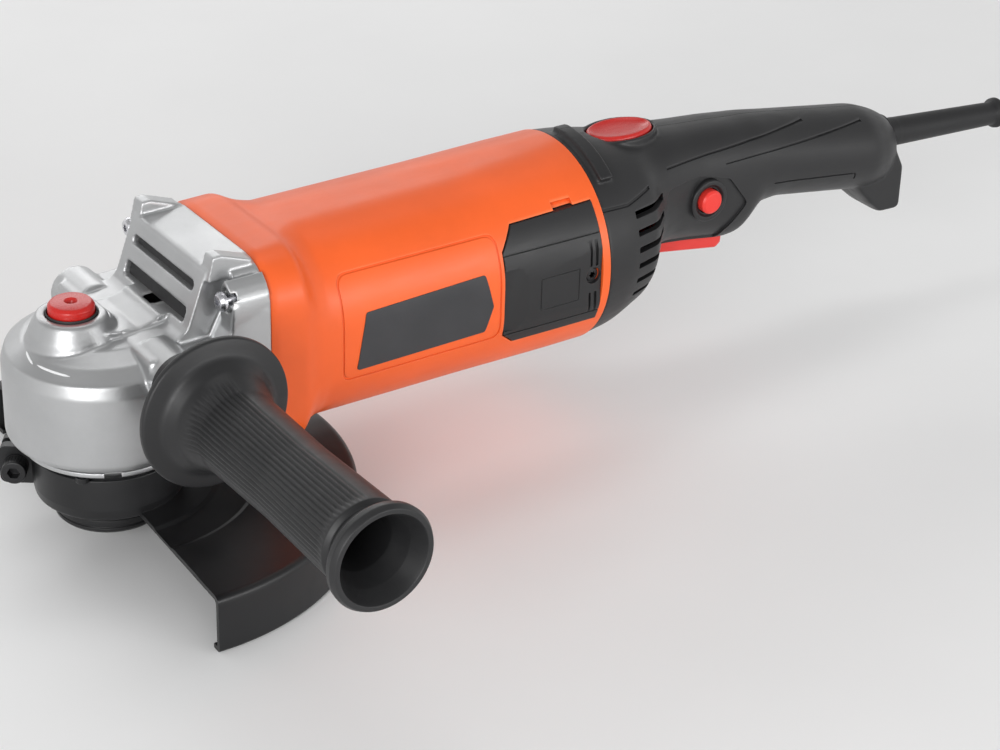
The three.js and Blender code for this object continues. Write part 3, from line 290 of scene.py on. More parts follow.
def finished(obj, material, body, node=None, angle=32):
    """Shades a piece, paints it and hangs it on its body."""
    for polygon in obj.data.polygons:
        polygon.use_smooth = True
    obj.data.set_sharp_from_angle(angle=math.radians(angle))
    obj.data.materials.clear()
    obj.data.materials.append(material)
    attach(obj, body)
    if node:
        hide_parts(node)
    return obj


# ---- materials
class Nodes:
    """A node material that is built up from its Principled shader."""

    def __init__(self, name):
        self.material = bpy.data.materials.new(name)
        self.material.use_nodes = True
        self.tree = self.material.node_tree
        self.shader = self.tree.nodes["Principled BSDF"]
        self.place = self.add("ShaderNodeTexCoord").outputs["Object"]

    def feed(self, socket, value):
        """Links an output to an input socket, or sets the socket to a plain value."""
        if isinstance(value, bpy.types.NodeSocket):
            self.tree.links.new(value, socket)
        elif socket.type == "RGBA":
            socket.default_value = (*value, 1.0)
        else:
            socket.default_value = value

    def add(self, kind, inputs=None, **settings):
        node = self.tree.nodes.new(kind)
        for key, value in settings.items():
            setattr(node, key, value)
        for key, value in (inputs or {}).items():
            self.feed(node.inputs[key], value)
        return node

    def noise(self, scale, detail=4.0, stretch=None, distortion=0.0):
        source = self.place
        if stretch:
            source = self.add("ShaderNodeMapping", {"Scale": stretch, "Vector": source}).outputs["Vector"]
        return self.add("ShaderNodeTexNoise", {
            "Scale": scale, "Detail": detail, "Roughness": 0.55, "Distortion": distortion, "Vector": source,
        }).outputs["Fac"]

    def spread(self, value, low, high, from_low=0.3, from_high=0.7):
        """Maps a value's range onto another range."""
        return self.add("ShaderNodeMapRange", {
            "From Min": from_low, "From Max": from_high, "To Min": low, "To Max": high, "Value": value,
        }).outputs["Result"]

    def maths(self, operation, *values):
        node = self.add("ShaderNodeMath", operation=operation)
        for socket, value in zip(node.inputs, values):
            self.feed(socket, value)
        return node.outputs["Value"]

    def weighted(self, a, b, share=0.5):
        """A mean of two values, of which a has the given share."""
        return self.maths("ADD", self.maths("MULTIPLY", a, share), self.maths("MULTIPLY", b, 1 - share))

    def mix(self, factor, a, b):
        node = self.add("ShaderNodeMix", data_type="RGBA")
        sockets = {s.identifier: s for s in (*node.inputs, *node.outputs)}
        for key, value in (("Factor_Float", factor), ("A_Color", a), ("B_Color", b)):
            self.feed(sockets[key], value)
        return sockets["Result_Color"]

    def edges(self, reach=0.0012):
        """1 on outer edges and corners, where handling polishes or chips the surface."""
        occlusion = self.add("ShaderNodeAmbientOcclusion", {"Distance": reach},
                             inside=True, samples=4, only_local=True)
        return self.spread(occlusion.outputs["AO"], 1.0, 0.0, 0.25, 0.75)

    def bumped(self, layers, edge=0.0004):
        """Rounds the edges, then adds layers of (height, distance in mm, strength)."""
        normal = self.add("ShaderNodeBevel", {"Radius": edge}, samples=4).outputs["Normal"]
        for height, distance, strength in layers:
            normal = self.add("ShaderNodeBump", {
                "Distance": distance * MM, "Strength": strength, "Height": height, "Normal": normal,
            }).outputs["Normal"]
        self.feed(self.shader.inputs["Normal"], normal)

    def paint(self, colour, roughness, metallic=0.0):
        for key, value in (("Base Color", colour), ("Roughness", roughness), ("Metallic", metallic)):
            self.feed(self.shader.inputs[key], value)


def shade(colour, factor):
    return tuple(min(1.0, factor * c) for c in colour)


def moulded(name, colour, worn, rough=(0.38, 0.5), grain=2600.0, depth=0.02, specular=0.45):
    """Moulded plastic: fine spark grain, faint flow marks, polished edges and light handling wear."""
    n = Nodes(name)
    blotch = n.noise(22.0, 5.0)
    fine = n.noise(grain, 2.0)
    streak = n.noise(60.0, 6.0, stretch=(1.0, 4.0, 4.0), distortion=0.6)
    wear = n.maths("MULTIPLY", n.edges(), n.spread(blotch, 0.15, 0.6))
    tone = n.mix(n.spread(blotch, 0.0, 1.0), shade(colour, 0.86), colour)
    n.paint(n.mix(wear, tone, worn), n.spread(n.weighted(streak, fine, 0.6), *rough))
    n.feed(n.shader.inputs["Specular IOR Level"], specular)
    n.bumped([(n.noise(45.0, 2.0), 0.05, 0.12), (fine, depth, 0.35)])
    return n.material


def metal(name, colour, dull, rough=(0.22, 0.4), grain=900.0, depth=0.02, stretch=None):
    """Bare metal: machining or casting grain, dull patches and bright edges."""
    n = Nodes(name)
    blotch = n.noise(35.0, 6.0)
    fine = n.noise(grain, 3.0, stretch=stretch)
    tone = n.mix(n.spread(blotch, 0.0, 1.0, 0.35, 0.75), colour, dull)
    bright = n.mix(n.edges(0.0008), tone, shade(colour, 1.12))
    n.paint(bright, n.spread(n.weighted(blotch, fine), *rough), 1.0)
    n.bumped([(fine, depth, 0.3)], 0.0003)
    return n.material


def coated(name, colour, bare):
    """Black coated steel: slight orange peel, and the coat rubbed thin on its edges."""
    n = Nodes(name)
    blotch = n.noise(40.0, 6.0)
    rubbed = n.maths("MULTIPLY", n.edges(0.0006), n.spread(n.noise(180.0, 4.0), 0.0, 0.8, 0.45, 0.7))
    tone = n.mix(n.spread(blotch, 0.0, 1.0), shade(colour, 0.75), colour)
    n.paint(n.mix(rubbed, tone, bare), n.spread(blotch, 0.3, 0.5), 0.15)
    n.bumped([(n.noise(1400.0, 2.0), 0.03, 0.35)], 0.0003)
    return n.material


def banded(name, dark, light, wave, direction, patches, rough, metallic, bump):
    """Metal in fine parallel bands: close turns of wire, or thin sheets seen edge on."""
    n = Nodes(name)
    wave_node = n.add("ShaderNodeTexWave", {**wave, "Vector": n.place}, bands_direction=direction)
    bands = wave_node.outputs["Fac"]
    n.paint(n.mix(bands, dark, light), n.spread(n.noise(patches), *rough), metallic)
    n.bumped([(bands, *bump)])
    return n.material


def bars(name, count=24):
    """Copper bars with mica between them, around the commutator."""
    n = Nodes(name)
    split = n.add("ShaderNodeSeparateXYZ", {"Vector": n.place})
    turn = n.maths("ARCTAN2", n.maths("SUBTRACT", split.outputs["Z"], axle * MM), split.outputs["Y"])
    bar = n.maths("FRACT", n.maths("MULTIPLY", turn, count / TAU))
    gap = n.maths("GREATER_THAN", n.maths("ABSOLUTE", n.maths("SUBTRACT", bar, 0.5)), 0.44)
    n.paint(n.mix(gap, (0.78, 0.38, 0.20), (0.05, 0.035, 0.03)),
            n.spread(n.noise(500.0, stretch=(8, 1, 1)), 0.2, 0.4), 0.85)
    n.bumped([(gap, 0.2, -0.6)])
    return n.material


def cast_aluminium():
    """Tumbled die-cast aluminium with a fine pebbled skin."""
    n = Nodes("cast_aluminium")
    blotch = n.noise(30.0, 6.0)
    pebble = n.noise(1500.0, 2.0)
    pits = n.add("ShaderNodeTexVoronoi", {"Scale": 900.0, "Vector": n.place}).outputs["Distance"]
    tone = n.mix(n.spread(blotch, 0.0, 1.0), (0.52, 0.525, 0.53), (0.44, 0.445, 0.45))
    rubbed = n.mix(n.edges(0.001), tone, (0.74, 0.74, 0.74))
    n.paint(rubbed, n.spread(n.weighted(blotch, pebble), 0.3, 0.46), 0.88)
    n.bumped([(n.noise(120.0, 3.0), 0.06, 0.15), (pebble, 0.03, 0.5), (pits, 0.02, 0.25)], 0.0005)
    return n.material


orange = moulded("orange_shell", (0.90, 0.125, 0.018), (1.0, 0.26, 0.10), (0.34, 0.46))
black = moulded("black_nylon", (0.016, 0.016, 0.017), (0.06, 0.06, 0.062), (0.36, 0.5),
                grain=1900.0, depth=0.03, specular=0.42)
rubber = moulded("soft_rubber", (0.014, 0.014, 0.015), (0.045, 0.045, 0.045), (0.46, 0.6),
                 grain=1200.0, depth=0.03, specular=0.38)
red = moulded("red_plastic", (0.55, 0.018, 0.014), (0.85, 0.16, 0.12), (0.22, 0.34),
              grain=3200.0, depth=0.008)
coral = moulded("trigger_plastic", (0.80, 0.040, 0.030), (1.0, 0.2, 0.16), (0.26, 0.38),
                grain=3000.0, depth=0.008)
label = moulded("label_film", (0.022, 0.023, 0.025), (0.06, 0.06, 0.065), (0.28, 0.36),
                grain=3600.0, depth=0.005)
mark_film = moulded("mark_film", (0.86, 0.87, 0.88), (0.95, 0.95, 0.95), (0.3, 0.4),
                    grain=3000.0, depth=0.004)
aluminium = cast_aluminium()
black_steel = coated("black_steel", (0.010, 0.010, 0.011), (0.16, 0.16, 0.165))
steel = metal("steel", (0.66, 0.66, 0.67), (0.48, 0.48, 0.50))
zinc = metal("zinc_plated", (0.72, 0.72, 0.74), (0.5, 0.5, 0.54), (0.2, 0.34), grain=1500.0, depth=0.01)
brass = metal("brass", (0.80, 0.58, 0.25), (0.60, 0.42, 0.18), (0.22, 0.36), stretch=(1, 6, 1))
carbon = metal("carbon", (0.045, 0.045, 0.05), (0.03, 0.03, 0.032), (0.4, 0.6), grain=2500.0)
copper = banded("copper", (0.30, 0.09, 0.03), (0.72, 0.30, 0.12), {"Scale": 420.0, "Distortion": 1.5},
                "DIAGONAL", 300.0, (0.25, 0.4), 0.8, (0.25, 0.8))
laminations = banded("laminations", (0.10, 0.10, 0.11), (0.42, 0.42, 0.43), {"Scale": 640.0},
                     "X", 200.0, (0.35, 0.55), 0.9, (0.1, 0.6))
commutator = bars("commutator_bars")

by_slot = {
    "cast_aluminium": aluminium, "orange_shell": orange, "black_nylon": black, "black_steel": black_steel,
    "red_plastic": red, "soft_rubber": rubber, "steel": steel, "copper": copper, "laminations": laminations,
    "brass": brass, "carbon": carbon,
}
for part in frame["record"]["subparts"]:
    node = frame["nodes"][part["node"]]
    node.data.materials.clear()
    node.data.materials.append(by_slot[part["material_slot"]])
frame["nodes"]["commutator"].data.materials[0] = commutator
for index in range(1, 5):
    frame["nodes"][f"cover_screw_{index}"].data.materials[0] = black_steel


# ---- outlines that pieces share
def rounded_box_reach(angle, half_width, half_height, corner):
    """How far a rounded rectangle reaches from its centre in one direction."""
    c, s = abs(math.cos(angle)), abs(math.sin(angle))
    to_side = half_width / max(c, 1e-9)
    if to_side * s <= half_height - corner:
        return to_side
    to_top = half_height / max(s, 1e-9)
    if to_top * c <= half_width - corner:
        return to_top
    a, b = half_width - corner, half_height - corner
    along_ray = a * c + b * s
    return along_ray + math.sqrt(max(along_ray**2 - (a * a + b * b - corner * corner), 0))


def eased(stations, places, width):
    """Station values at each place, with their corners smoothed over a width."""
    stations = sorted(stations)
    at = np.array([s[0] for s in stations], float)
    values = np.array([s[1:] for s in stations], float)
    offsets = np.linspace(-1, 1, 21)
    weights = (1 - offsets**2) ** 2
    result = []
    for x in places:
        spread = min(width, max(x - at[0], 0.0), max(at[-1] - x, 0.0))
        near = [np.array([np.interp(x + o * spread, at, column) for column in values.T]) for o in offsets]
        result.append(np.average(near, axis=0, weights=weights))
    return result


def rounded_box(half_width, half_height, corner, sides=128):
    """A rounded rectangle's points about the motor's axis."""
    points = []
    for k in range(sides):
        angle = TAU * k / sides
        reach = rounded_box_reach(angle, half_width, half_height, corner)
        points.append((reach * math.cos(angle), axle + reach * math.sin(angle)))
    return points


def flange_outline(grow=0.0):
    return rounded_box(flange_half + grow, crest_z - axle + grow, flange_corner + grow)


# ---- gear case
screw_y, screw_rise = flange_half - 6, crest_z - axle - 11
screw_places = [(y, axle + z) for y in (screw_y, -screw_y) for z in (screw_rise, -screw_rise)]
slope_foot = 19 - head_radius
slope_run = 9.5
duct_floor = axle + 20
louvres = {"lower": (duct_floor - 0.3, duct_floor + 5.7), "upper": (crest_z - 11.1, crest_z - 7.3)}


def make_gear_case():
    head = turned("gear_case_visual", softened([
        (0, rim_z), (35, rim_z), (35, rim_z + 2.2), (38.6, rim_z + 2.6), (head_radius, rim_z + 5),
        (head_radius, 72), (38.4, 77), (31.5, 81.6), (23, 84.6), (0, roof_z - 0.4)], 1.2), sides=128)
    boss = turned("boss", softened([
        (0, roof_z - 8), (19.5, roof_z - 8), (17.2, roof_z + 0.6), (14.2, roof_z + 6.4), (13.2, roof_z + 7.3),
        (0, roof_z + 7.3)], 1.0), at=(button_x, 0, 0))
    saddle = prism("saddle", "y", [
        (button_x, roof_z - 8), (button_x, roof_z + 4.5), (0, roof_z + 1.6), (-9, roof_z + 0.9),
        (-16, roof_z + 2.6), (-24, roof_z + 9), (-24, roof_z - 8)], -15, 15)
    side = softened([
        (0, rim_z + 3), (3 - head_radius, rim_z + 2), (joint_x + 8, 2 * axle - crest_z + 4),
        (joint_x, 2 * axle - crest_z, 0), (joint_x, crest_z, 0),
        (slope_foot - slope_run, crest_z - 0.3, 2.5), (slope_foot, roof_z + 1, 7),
        (0, roof_z - 0.5)], 3, True)
    neck = prism("neck", "y", side, -60, 60)
    plan = prism("plan", "z", [(joint_x - 1, -flange_half), (0, -head_radius), (0, head_radius),
                               (joint_x - 1, flange_half)], 0, 200)
    end = prism("end", "x", flange_outline(), joint_x, 5)
    neck = shared(neck, plan, end)
    cheek = [(-40, 130), (-39, 99), (-31, 84), (-5, 84), (-5, 130)]
    pieces = [cut(neck, *(prism("cheek", "y", cheek, *side_range(s, 30.5)) for s in (1, -1))), boss, saddle]
    for y, z in screw_places:
        outline = oval(5.6, 11.5, 48, y, z - math.copysign(3.5, z - axle))
        ear = prism("ear", "x", outline, joint_x, joint_x + 16.6)
        pieces.append(shared(ear, prism("limit", "x", flange_outline(1.6), joint_x - 1, 0)))
    fin = [(joint_x + 1.5, crest_z - 5), (joint_x + 1.5, crest_z + 0.4), (joint_x + 15, crest_z + 5.3),
           (joint_x + 18.5, crest_z + 5), (joint_x + 21, crest_z - 5)]
    for s in (1, -1):
        pieces.append(prism("fin", "y", fin, *side_range(s, 25.5, 33)))
        pieces.append(rod("lug", "y", grip_x, grip_z, 10.5, *side_range(s, 25, 46), 64))
    case = join(head, *pieces)
    cuts = [
        rod("chamber", "z", 0, 0, 27.5, 0, rim_z + 8, 64),
        rod("upper", "z", 0, 0, 34, rim_z + 7, roof_z - 7, 64),
        rod("passage", "x", 0, axle, 20, joint_x - 1, -20, 48),
        rod("well", "z", button_x, 0, 10.3, roof_z - 0.5, 200, 64),
        rod("pin", "z", button_x, 0, 3.1, 70, 200, 24),
        rod("stud", "y", grip_x, grip_z, 5.3, -50, 50, 32),
        box("duct", joint_x - 1, joint_x + 19, -25, 25, duct_floor, crest_z - 5),
    ]
    for low, high in louvres.values():
        cuts.append(prism("louvre", "x", softened(rectangle(-25, 25, low, high), 1.6, True), joint_x + 1, 0))
    for y, z in screw_places:
        cuts.append(rod("bore", "x", y, z, 4.9, joint_x + 13.4, 0, 40))
        cuts.append(rod("bore", "x", y, z, 2.8, joint_x - 1, 0, 24))
    return cast(cut(case, *cuts), 0.62, 4)


finished(make_gear_case(), aluminium, "housing", "gear_case", 60)


def louvre_face(z):
    """Where the sloping face stands at one height."""
    return np.interp(z, [roof_z + 1, crest_z - 0.3], [slope_foot, slope_foot - slope_run])


# Painted shade: a dark rubber sheet just behind each louvre slot makes the duct's inside look dark; the sheets
# stand for shade, not for a real part.
for word, (slot_low, slot_high) in louvres.items():
    low, high = slot_low - 0.2, slot_high + 0.2
    shade_sheet = prism(f"duct_shade_sheet_{word}", "y", [
        (louvre_face(low) - 2.6, low), (louvre_face(high) - 2.6, high), (joint_x + 14, high),
        (joint_x + 14, low)],
        -25.3, 25.3)
    finished(shade_sheet, rubber, "housing")


def direction_mark(name, start, end, width=0.9):
    """A thin raised stroke round the head's shoulder, between two (angle in degrees, radius) ends."""
    sections = []
    for k in range(25):
        t = k / 24
        angle = math.radians(start[0] + (end[0] - start[0]) * t)
        radius = start[1] + (end[1] - start[1]) * t
        height = np.interp(radius, [23, 31.5, 38.4], [84.6, 81.6, 77.0]) + 0.12
        thick = width * min(1, 6 * t + 0.15, 6 * (1 - t) + 0.15)
        point = Vector((radius * math.cos(angle), radius * math.sin(angle), height))
        across = Vector((math.cos(angle), math.sin(angle), -0.66)).normalized() * thick / 2
        up = Vector((0.55 * math.cos(angle), 0.55 * math.sin(angle), 0.83)) * 0.16
        sections.append([tuple(point + c) for c in (across - up, across + up, -across + up, -across - up)])
    return loft(name, sections)


finished(direction_mark("turn_mark_long", (43, 34.8), (17, 34.0)), mark_film, "housing")
finished(direction_mark("turn_mark_tip", (13.5, 34.4), (0, 32.2)), mark_film, "housing")


# ---- spindle side: cover, flange, nut, lock button
def make_bearing_cover():
    cover = turned("bearing_cover_visual", softened([
        (10.3, 17.5), (25, 17.5), (26, 18.5), (26, 34.2), (33.6, 34.2), (34.5, 35.0), (34.5, 36.7),
        (27.2, 36.7), (27.2, 39.6), (20.3, 39.6), (20.3, 33.8), (20.3, 21.4), (10.3, 21.4), (10.3, 17.5)],
        0.4), sides=128)
    notches = [spun(box("notch", 30, 40, -3.4, 3.4, 33, 36.9), angle) for angle in (67, 187, 307)]
    return cut(cover, *notches)


finished(make_bearing_cover(), aluminium, "housing", "bearing_cover")

finished(turned("inner_flange_visual", softened([
    (8.8, flange_low.z), (21.4, flange_low.z), (22.6, flange_low.z + 1.1), (22.6, flange_high.z - 2.4),
    (21.9, flange_high.z - 2.1), (21.9, flange_high.z - 1.2), (22.4, flange_high.z - 0.9),
    (21.6, flange_high.z),
    (10.5, flange_high.z), (8.8, flange_high.z), (8.8, flange_low.z)], 0.25), sides=128),
    black_steel, "spindle", "inner_flange")


def make_lock_nut():
    foot, top = nut_low.z, nut_high.z
    nut = turned("lock_nut_visual", softened([
        (7.3, foot), (14, foot), (14.8, foot + 0.5), (20, foot + 0.5), (21.5, foot + 0.6), (22.6, foot + 1.8),
        (22.6, foot + 3.0), (22.1, foot + 3.3), (22.1, foot + 3.9), (22.6, foot + 4.2), (22.6, top - 0.5),
        (22.1, top), (7.3, top), (7.3, foot)], 0.2), sides=128)
    return cut(nut, *(rod("hole", "z", x, 0, 2.4, foot - 1, foot + 4.5, 32) for x in (-15, 15)))


finished(make_lock_nut(), black_steel, "spindle", "lock_nut")


def make_spindle_tip():
    """The spindle: ring-shaped thread grooves, a hexagon socket in its end, and the shaft above."""
    pitch, root, crest = 2.0, 6.1, 6.95
    profile = [(0, 0), (5.6, 0), (root + 0.2, 0.6)]
    for k in range(7):
        z = 0.9 + k * pitch
        profile += [(root, z), (crest, z + 0.8), (crest, z + 1.1), (root, z + 1.9)]
    profile += [(6.9, 15.6), (8.3, 16.2), (8.3, 22), (8.3, 33.2), (6, 34), (6, 66), (0, 66)]
    spindle = turned("spindle_visual", profile, sides=72)
    return cut(spindle, prism("hex", "z", circle(3.4, 6), -1, 5))


finished(make_spindle_tip(), steel, "spindle", "spindle")

finished(turned("lock_button_visual", softened([
    (0, button_low.z + 3), (6.4, button_low.z + 3), (6.4, button_low.z), (9.2, button_low.z),
    (9.2, button_high.z - 1.6, 1.3), (8.0, button_high.z - 0.25, 0.8), (2.6, button_high.z, 0.3),
    (1.9, button_high.z - 0.9, 0.3), (1.2, button_high.z - 2.2, 0.2),
    (0, button_high.z - 2.2)], 0.3, steps=5),
    at=(button_x, 0, 0), sides=96), red, "spindle_lock", "lock_button")
finished(turned("button_gaiter", softened([
    (9.5, roof_z - 0.3), (10.15, roof_z - 0.3), (10.15, roof_z + 7.4), (9.9, roof_z + 8.1),
    (9.55, roof_z + 7.6),
    (9.5, roof_z - 0.3)], 0.15), at=(button_x, 0, 0), sides=96), rubber, "housing")


# ---- screws
def star(radius, u, v, points=6):
    """The star-shaped socket of a screw at u, v."""
    outline = []
    for k in range(points * 8):
        angle = TAU * k / (points * 8)
        reach = radius * (0.86 + 0.14 * math.cos(points * angle))
        outline.append((u + reach * math.cos(angle), v + reach * math.sin(angle)))
    return outline


for index in range(1, 5):
    low, high = box_mm(f"case_screw_{index}")
    y, z = (low.y + high.y) / 2, (low.z + high.z) / 2
    top = high.x
    screw = turned(f"case_screw_{index}_visual", softened([
        (0, low.x), (2.4, low.x), (2.4, top - 3.2, 0.1), (4.15, top - 3.2), (4.15, top - 1.5), (2.9, top),
        (0, top)], 0.8), "x", (0, y, z), 48)
    cut(screw, prism("star", "x", star(1.75, y, z), top - 1.6, top + 1))
    finished(screw, zinc, "housing", f"case_screw_{index}")


# ---- guard and clamp
plate_top, sheet = 14.0, 2.0
half_sweep = 93.0
clamp_x, clamp_z = 36.3, 22.5
clamp_turn = -35


def make_guard():
    collar_outer = 30.6
    rim = -guard_low.x
    steps = 120
    profile = softened([
        (26.5, plate_top - sheet), (rim - sheet, plate_top - sheet, 2.0),
        (rim - sheet, guard_low.z + sheet, 0.8),
        (rim - sheet - 3, guard_low.z + sheet, 0.3), (rim - sheet - 3, guard_low.z, 0.3),
        (rim, guard_low.z, 1.6),
        (rim, plate_top, 3.4), (60, plate_top, 1.0), (58, plate_top - 0.7, 1.0), (44, plate_top - 0.7, 1.0),
        (42, plate_top, 1.0), (26.5, plate_top)], 0.5, steps=5)
    sections = []
    for k in range(steps + 1):
        angle = math.radians(180 - half_sweep + 2 * half_sweep * k / steps)
        sections.append([(r * math.cos(angle), r * math.sin(angle), z) for r, z in profile])
    disc = loft("guard_visual", sections)
    collar = cut(turned("collar", softened([
        (0, plate_top - sheet), (collar_outer - 0.8, plate_top - sheet, 2.2),
        (collar_outer, plate_top + 3, 2.5),
        (collar_outer, 31, 0.6), (0, 31)], 0.5, steps=6), sides=128),
        rod("bore", "z", 0, 0, 26.3, 0, 60, 128))
    ear = softened(rectangle(27, 43.2, plate_top + 0.2, 31), 3.5, True, 6)
    ears = [prism("ear", "y", ear, *side_range(s, 1.5, 5.5)) for s in (-1, 1)]
    slit = box("slit", 24, 46, -1.5, 1.5, 0, 60)
    hole = rod("hole", "y", clamp_x, clamp_z, 3.3, -20, 20, 32)
    clamp = cut(join(collar, *ears), slit, hole)
    return join(disc, spun(clamp, clamp_turn))


finished(make_guard(), black_steel, "guard", "guard", 40)

screw = turned("clamp_screw_visual", softened([
    (0, -13.9), (2.9, -13.9), (2.9, 5.9, 0.1), (5, 5.9), (5, 12.4, 0.7), (0, 12.4)], 0.4),
    "y", (clamp_x, 0, clamp_z), 64)
for u, v in [(5.12 * math.cos(a), 5.12 * math.sin(a)) for a in (TAU * (k + 0.5) / 24 for k in range(24))]:
    cut(screw, rod("knurl", "y", clamp_x + u, clamp_z + v, 0.28, 7, 11.6, 8))
cut(screw, prism("hex", "y", circle(2.7, 6, clamp_x, clamp_z), 8.6, 14))
finished(spun(screw, clamp_turn), black_steel, "guard", "clamp_screw")
nut = cut(prism("clamp_nut_visual", "y", circle(5.5, 6, clamp_x, clamp_z), -10.9, -5.9),
          rod("bore", "y", clamp_x, clamp_z, 3.2, -20, 0, 32))
finished(spun(nut, clamp_turn), black_steel, "guard", "clamp_nut")


# ---- side handle
def make_side_handle():
    foot, end = grip_low.y, grip_high.y
    dish_y, dish, grip = foot + 26, 31.0, 16.5
    outer = softened([
        (0, foot), (13, foot, 0.8), (13.4, foot + 9, 4), (16, dish_y - 10, 6), (dish - 6.5, dish_y - 2.6, 4),
        (dish, dish_y - 0.6, 1.4), (dish, dish_y + 2.2, 1.4), (dish - 7, dish_y + 4.2, 5),
        (grip + 4, dish_y + 9, 7),
        (grip + 0.6, dish_y + 19, 6), (grip - 0.2, (dish_y + end) / 2, 60), (grip + 0.9, end - 13.2, 0.8),
        (grip - 0.9, end - 11.6, 0.8), (grip + 0.3, end - 9.4, 2), (grip + 4.1, end - 5, 2),
        (grip + 4.4, end - 2.2, 1.2), (grip + 3.3, end, 0.8), (grip + 1.4, end, 0.6),
        (grip - 1.9, end - 7, 2.5), (grip - 4.6, end - 15, 3),
        (grip - 5.4, end - 60, 2), (0, end - 61)], 1.0, steps=6)
    fine = []
    for (r0, y0), (r1, y1) in zip(outer, outer[1:]):
        length = math.hypot(r1 - r0, y1 - y0)
        pieces = max(1, int(length / 1.6))
        fine += [(r0 + (r1 - r0) * k / pieces, y0 + (y1 - y0) * k / pieces) for k in range(pieces)]
    fine.append(outer[-1])
    flute_start, flute_end = dish_y + 13, end - 14.5

    def flutes(angle, radius, y):
        """The depth of the grip's fine flutes, which leave a smooth strip on two sides."""
        if radius < grip - 2:
            return 0
        panel = min(1.0, 4 * max(0.0, math.cos(2 * (angle - math.radians(40))) + 0.42))
        start = flute_start + 2.5 * (1 - panel)
        ends = min(1.0, max(0.0, (y - start) / 1.5), max(0.0, (flute_end - y) / 1.5))
        return 0.62 * panel * ends * (0.5 + 0.5 * math.cos(54 * angle)) ** 1.5

    return turned("side_handle_visual", fine, "y", (grip_x, 0, grip_z), 432, flutes)


finished(make_side_handle(), black, "housing", "side_handle", 50)


# ---- motor housing and brush covers
barrel_stations = [
    (swivel_x, swivel_radius, swivel_radius, swivel_radius - 0.5),
    (swivel_x + 22, barrel_half + 2, barrel_half + 2, 41),
    (swivel_x + 60, barrel_half + 0.5, barrel_half + 0.5, 37),
    (joint_x - 28, barrel_half, barrel_half, 36),
    (joint_x - 22, barrel_half + 0.3, barrel_half + 0.2, 32),
    (joint_x - 18.5, flange_half - 0.4, crest_z - axle - 0.2, flange_corner + 6),
    (joint_x - 16, flange_half + 0.6, crest_z - axle + 0.8, flange_corner + 2),
    (joint_x - 0.3, flange_half, crest_z - axle, flange_corner),
]


def barrel(name, grow=0.0, sides=192):
    """The housing's outer form, grown outwards by a distance."""
    places = np.concatenate([
        np.linspace(swivel_x, swivel_x + 60, 25), np.linspace(swivel_x + 64, joint_x - 32, 16),
        np.linspace(joint_x - 30, joint_x - 11, 27), np.linspace(joint_x - 9, joint_x - 0.3, 5)])
    sections = []
    for x, (width, height, corner) in zip(places, eased(barrel_stations, places, 3.2)):
        edge = 0.9 * max(0.0, 1 - (joint_x - 0.3 - x) / 1.2) ** 2
        outline = rounded_box(width + grow - edge, height + grow - edge, corner + grow, sides)
        sections.append([(x, y, z) for y, z in outline])
    return loft(name, sections)


def cover_outline(grow):
    x, z = swivel_x, axle
    return [(x + 52 + grow, z - 16 - grow), (x + 52 + grow, z + 21 + grow), (x + 45 + grow, z + 30 + grow),
            (x + 4 - grow, z + 31 + grow), (x + 4 - grow, z - 21 - grow), (x + 46 + grow, z - 21 - grow)]


panel_x = (joint_x - 109, joint_x - 33)
panel_z = (axle - 16.5, axle + 29)


def make_housing():
    housing = barrel("motor_housing_visual")
    cuts = [rod("bore", "x", 0, axle, 39.4, swivel_x + 24, 5, 96),
            rod("tail", "x", 0, axle, 30, swivel_x - 5, swivel_x + 30, 64)]
    middle_x, middle_z = sum(panel_x) / 2, sum(panel_z) / 2
    outer = softened(rectangle(*panel_x, *panel_z), 5, True, 8)
    inside = [(x - 0.9 * np.sign(x - middle_x), z - 0.9 * np.sign(z - middle_z)) for x, z in outer]
    for s in (1, -1):
        span = side_range(s, 20)
        recess = prism("recess", "y", cover_outline(0.35), *span)
        cuts.append(cut(recess, barrel("under", -3.0)))
        groove = cut(prism("groove", "y", outer, *span), prism("island", "y", inside, -70, 70))
        cuts.append(cut(groove, barrel("under", -0.55)))
        tab = box("tab", swivel_x + 13, swivel_x + 23, *span, axle + 28, axle + 33.6)
        cuts.append(cut(tab, barrel("under", -1.6)))
    return cut(housing, *cuts)


finished(make_housing(), orange, "housing", "motor_housing")


def make_cover(side, name):
    """A brush cover with its slots, screw hole, embossed frame and chamfered front."""
    x, z = swivel_x, axle
    cover = shared(prism(name, "y", cover_outline(0), *side_range(side, 20)), barrel("skin", 0.45),
                   box("flat", -300, 0, *side_range(side, 0, 44.9), 0, 200))
    slope = [(x + 38.5, 45.2), (x + 53, 42.2), (x + 53, 60), (x + 38.5, 60)]
    facet = prism("facet", "z", [(u, side * y) for u, y in slope], z - 14.5, z + 13.5)
    cuts = [facet, barrel("under", -2.75)]
    for low, high in ((5.5, 19.5), (-17, -6.5)):
        for at, wide in ((5.6, 1.5), (8.6, 1.2)):
            slot = softened([(x + at, z + low), (x + at + wide, z + low), (x + at + wide + 0.4, z + high),
                             (x + at + 0.4, z + high)], 0.5, True)
            cuts.append(prism("slot", "y", slot, *side_range(side, 43.7)))
    cuts.append(rod("screw", "y", x + 8, z + 1.2, 3.7, *side_range(side, 43.2), 40))
    frame_outer = softened(rectangle(x + 15, x + 35, z - 8.5, z + 6.5), 0.8, True)
    frame_inner = softened(rectangle(x + 15.6, x + 34.4, z - 7.9, z + 5.9), 0.5, True)
    cuts.append(cut(prism("line", "y", frame_outer, *side_range(side, 44.6)),
                    prism("inside", "y", frame_inner, -70, 70)))
    for edge in (z + 19.5, z - 16.5):
        step = box("step", x + 3, x + 53, *side_range(side, 20), edge, edge + 0.7)
        cuts.append(cut(step, barrel("under", -0.1)))
    return cut(cover, *cuts)


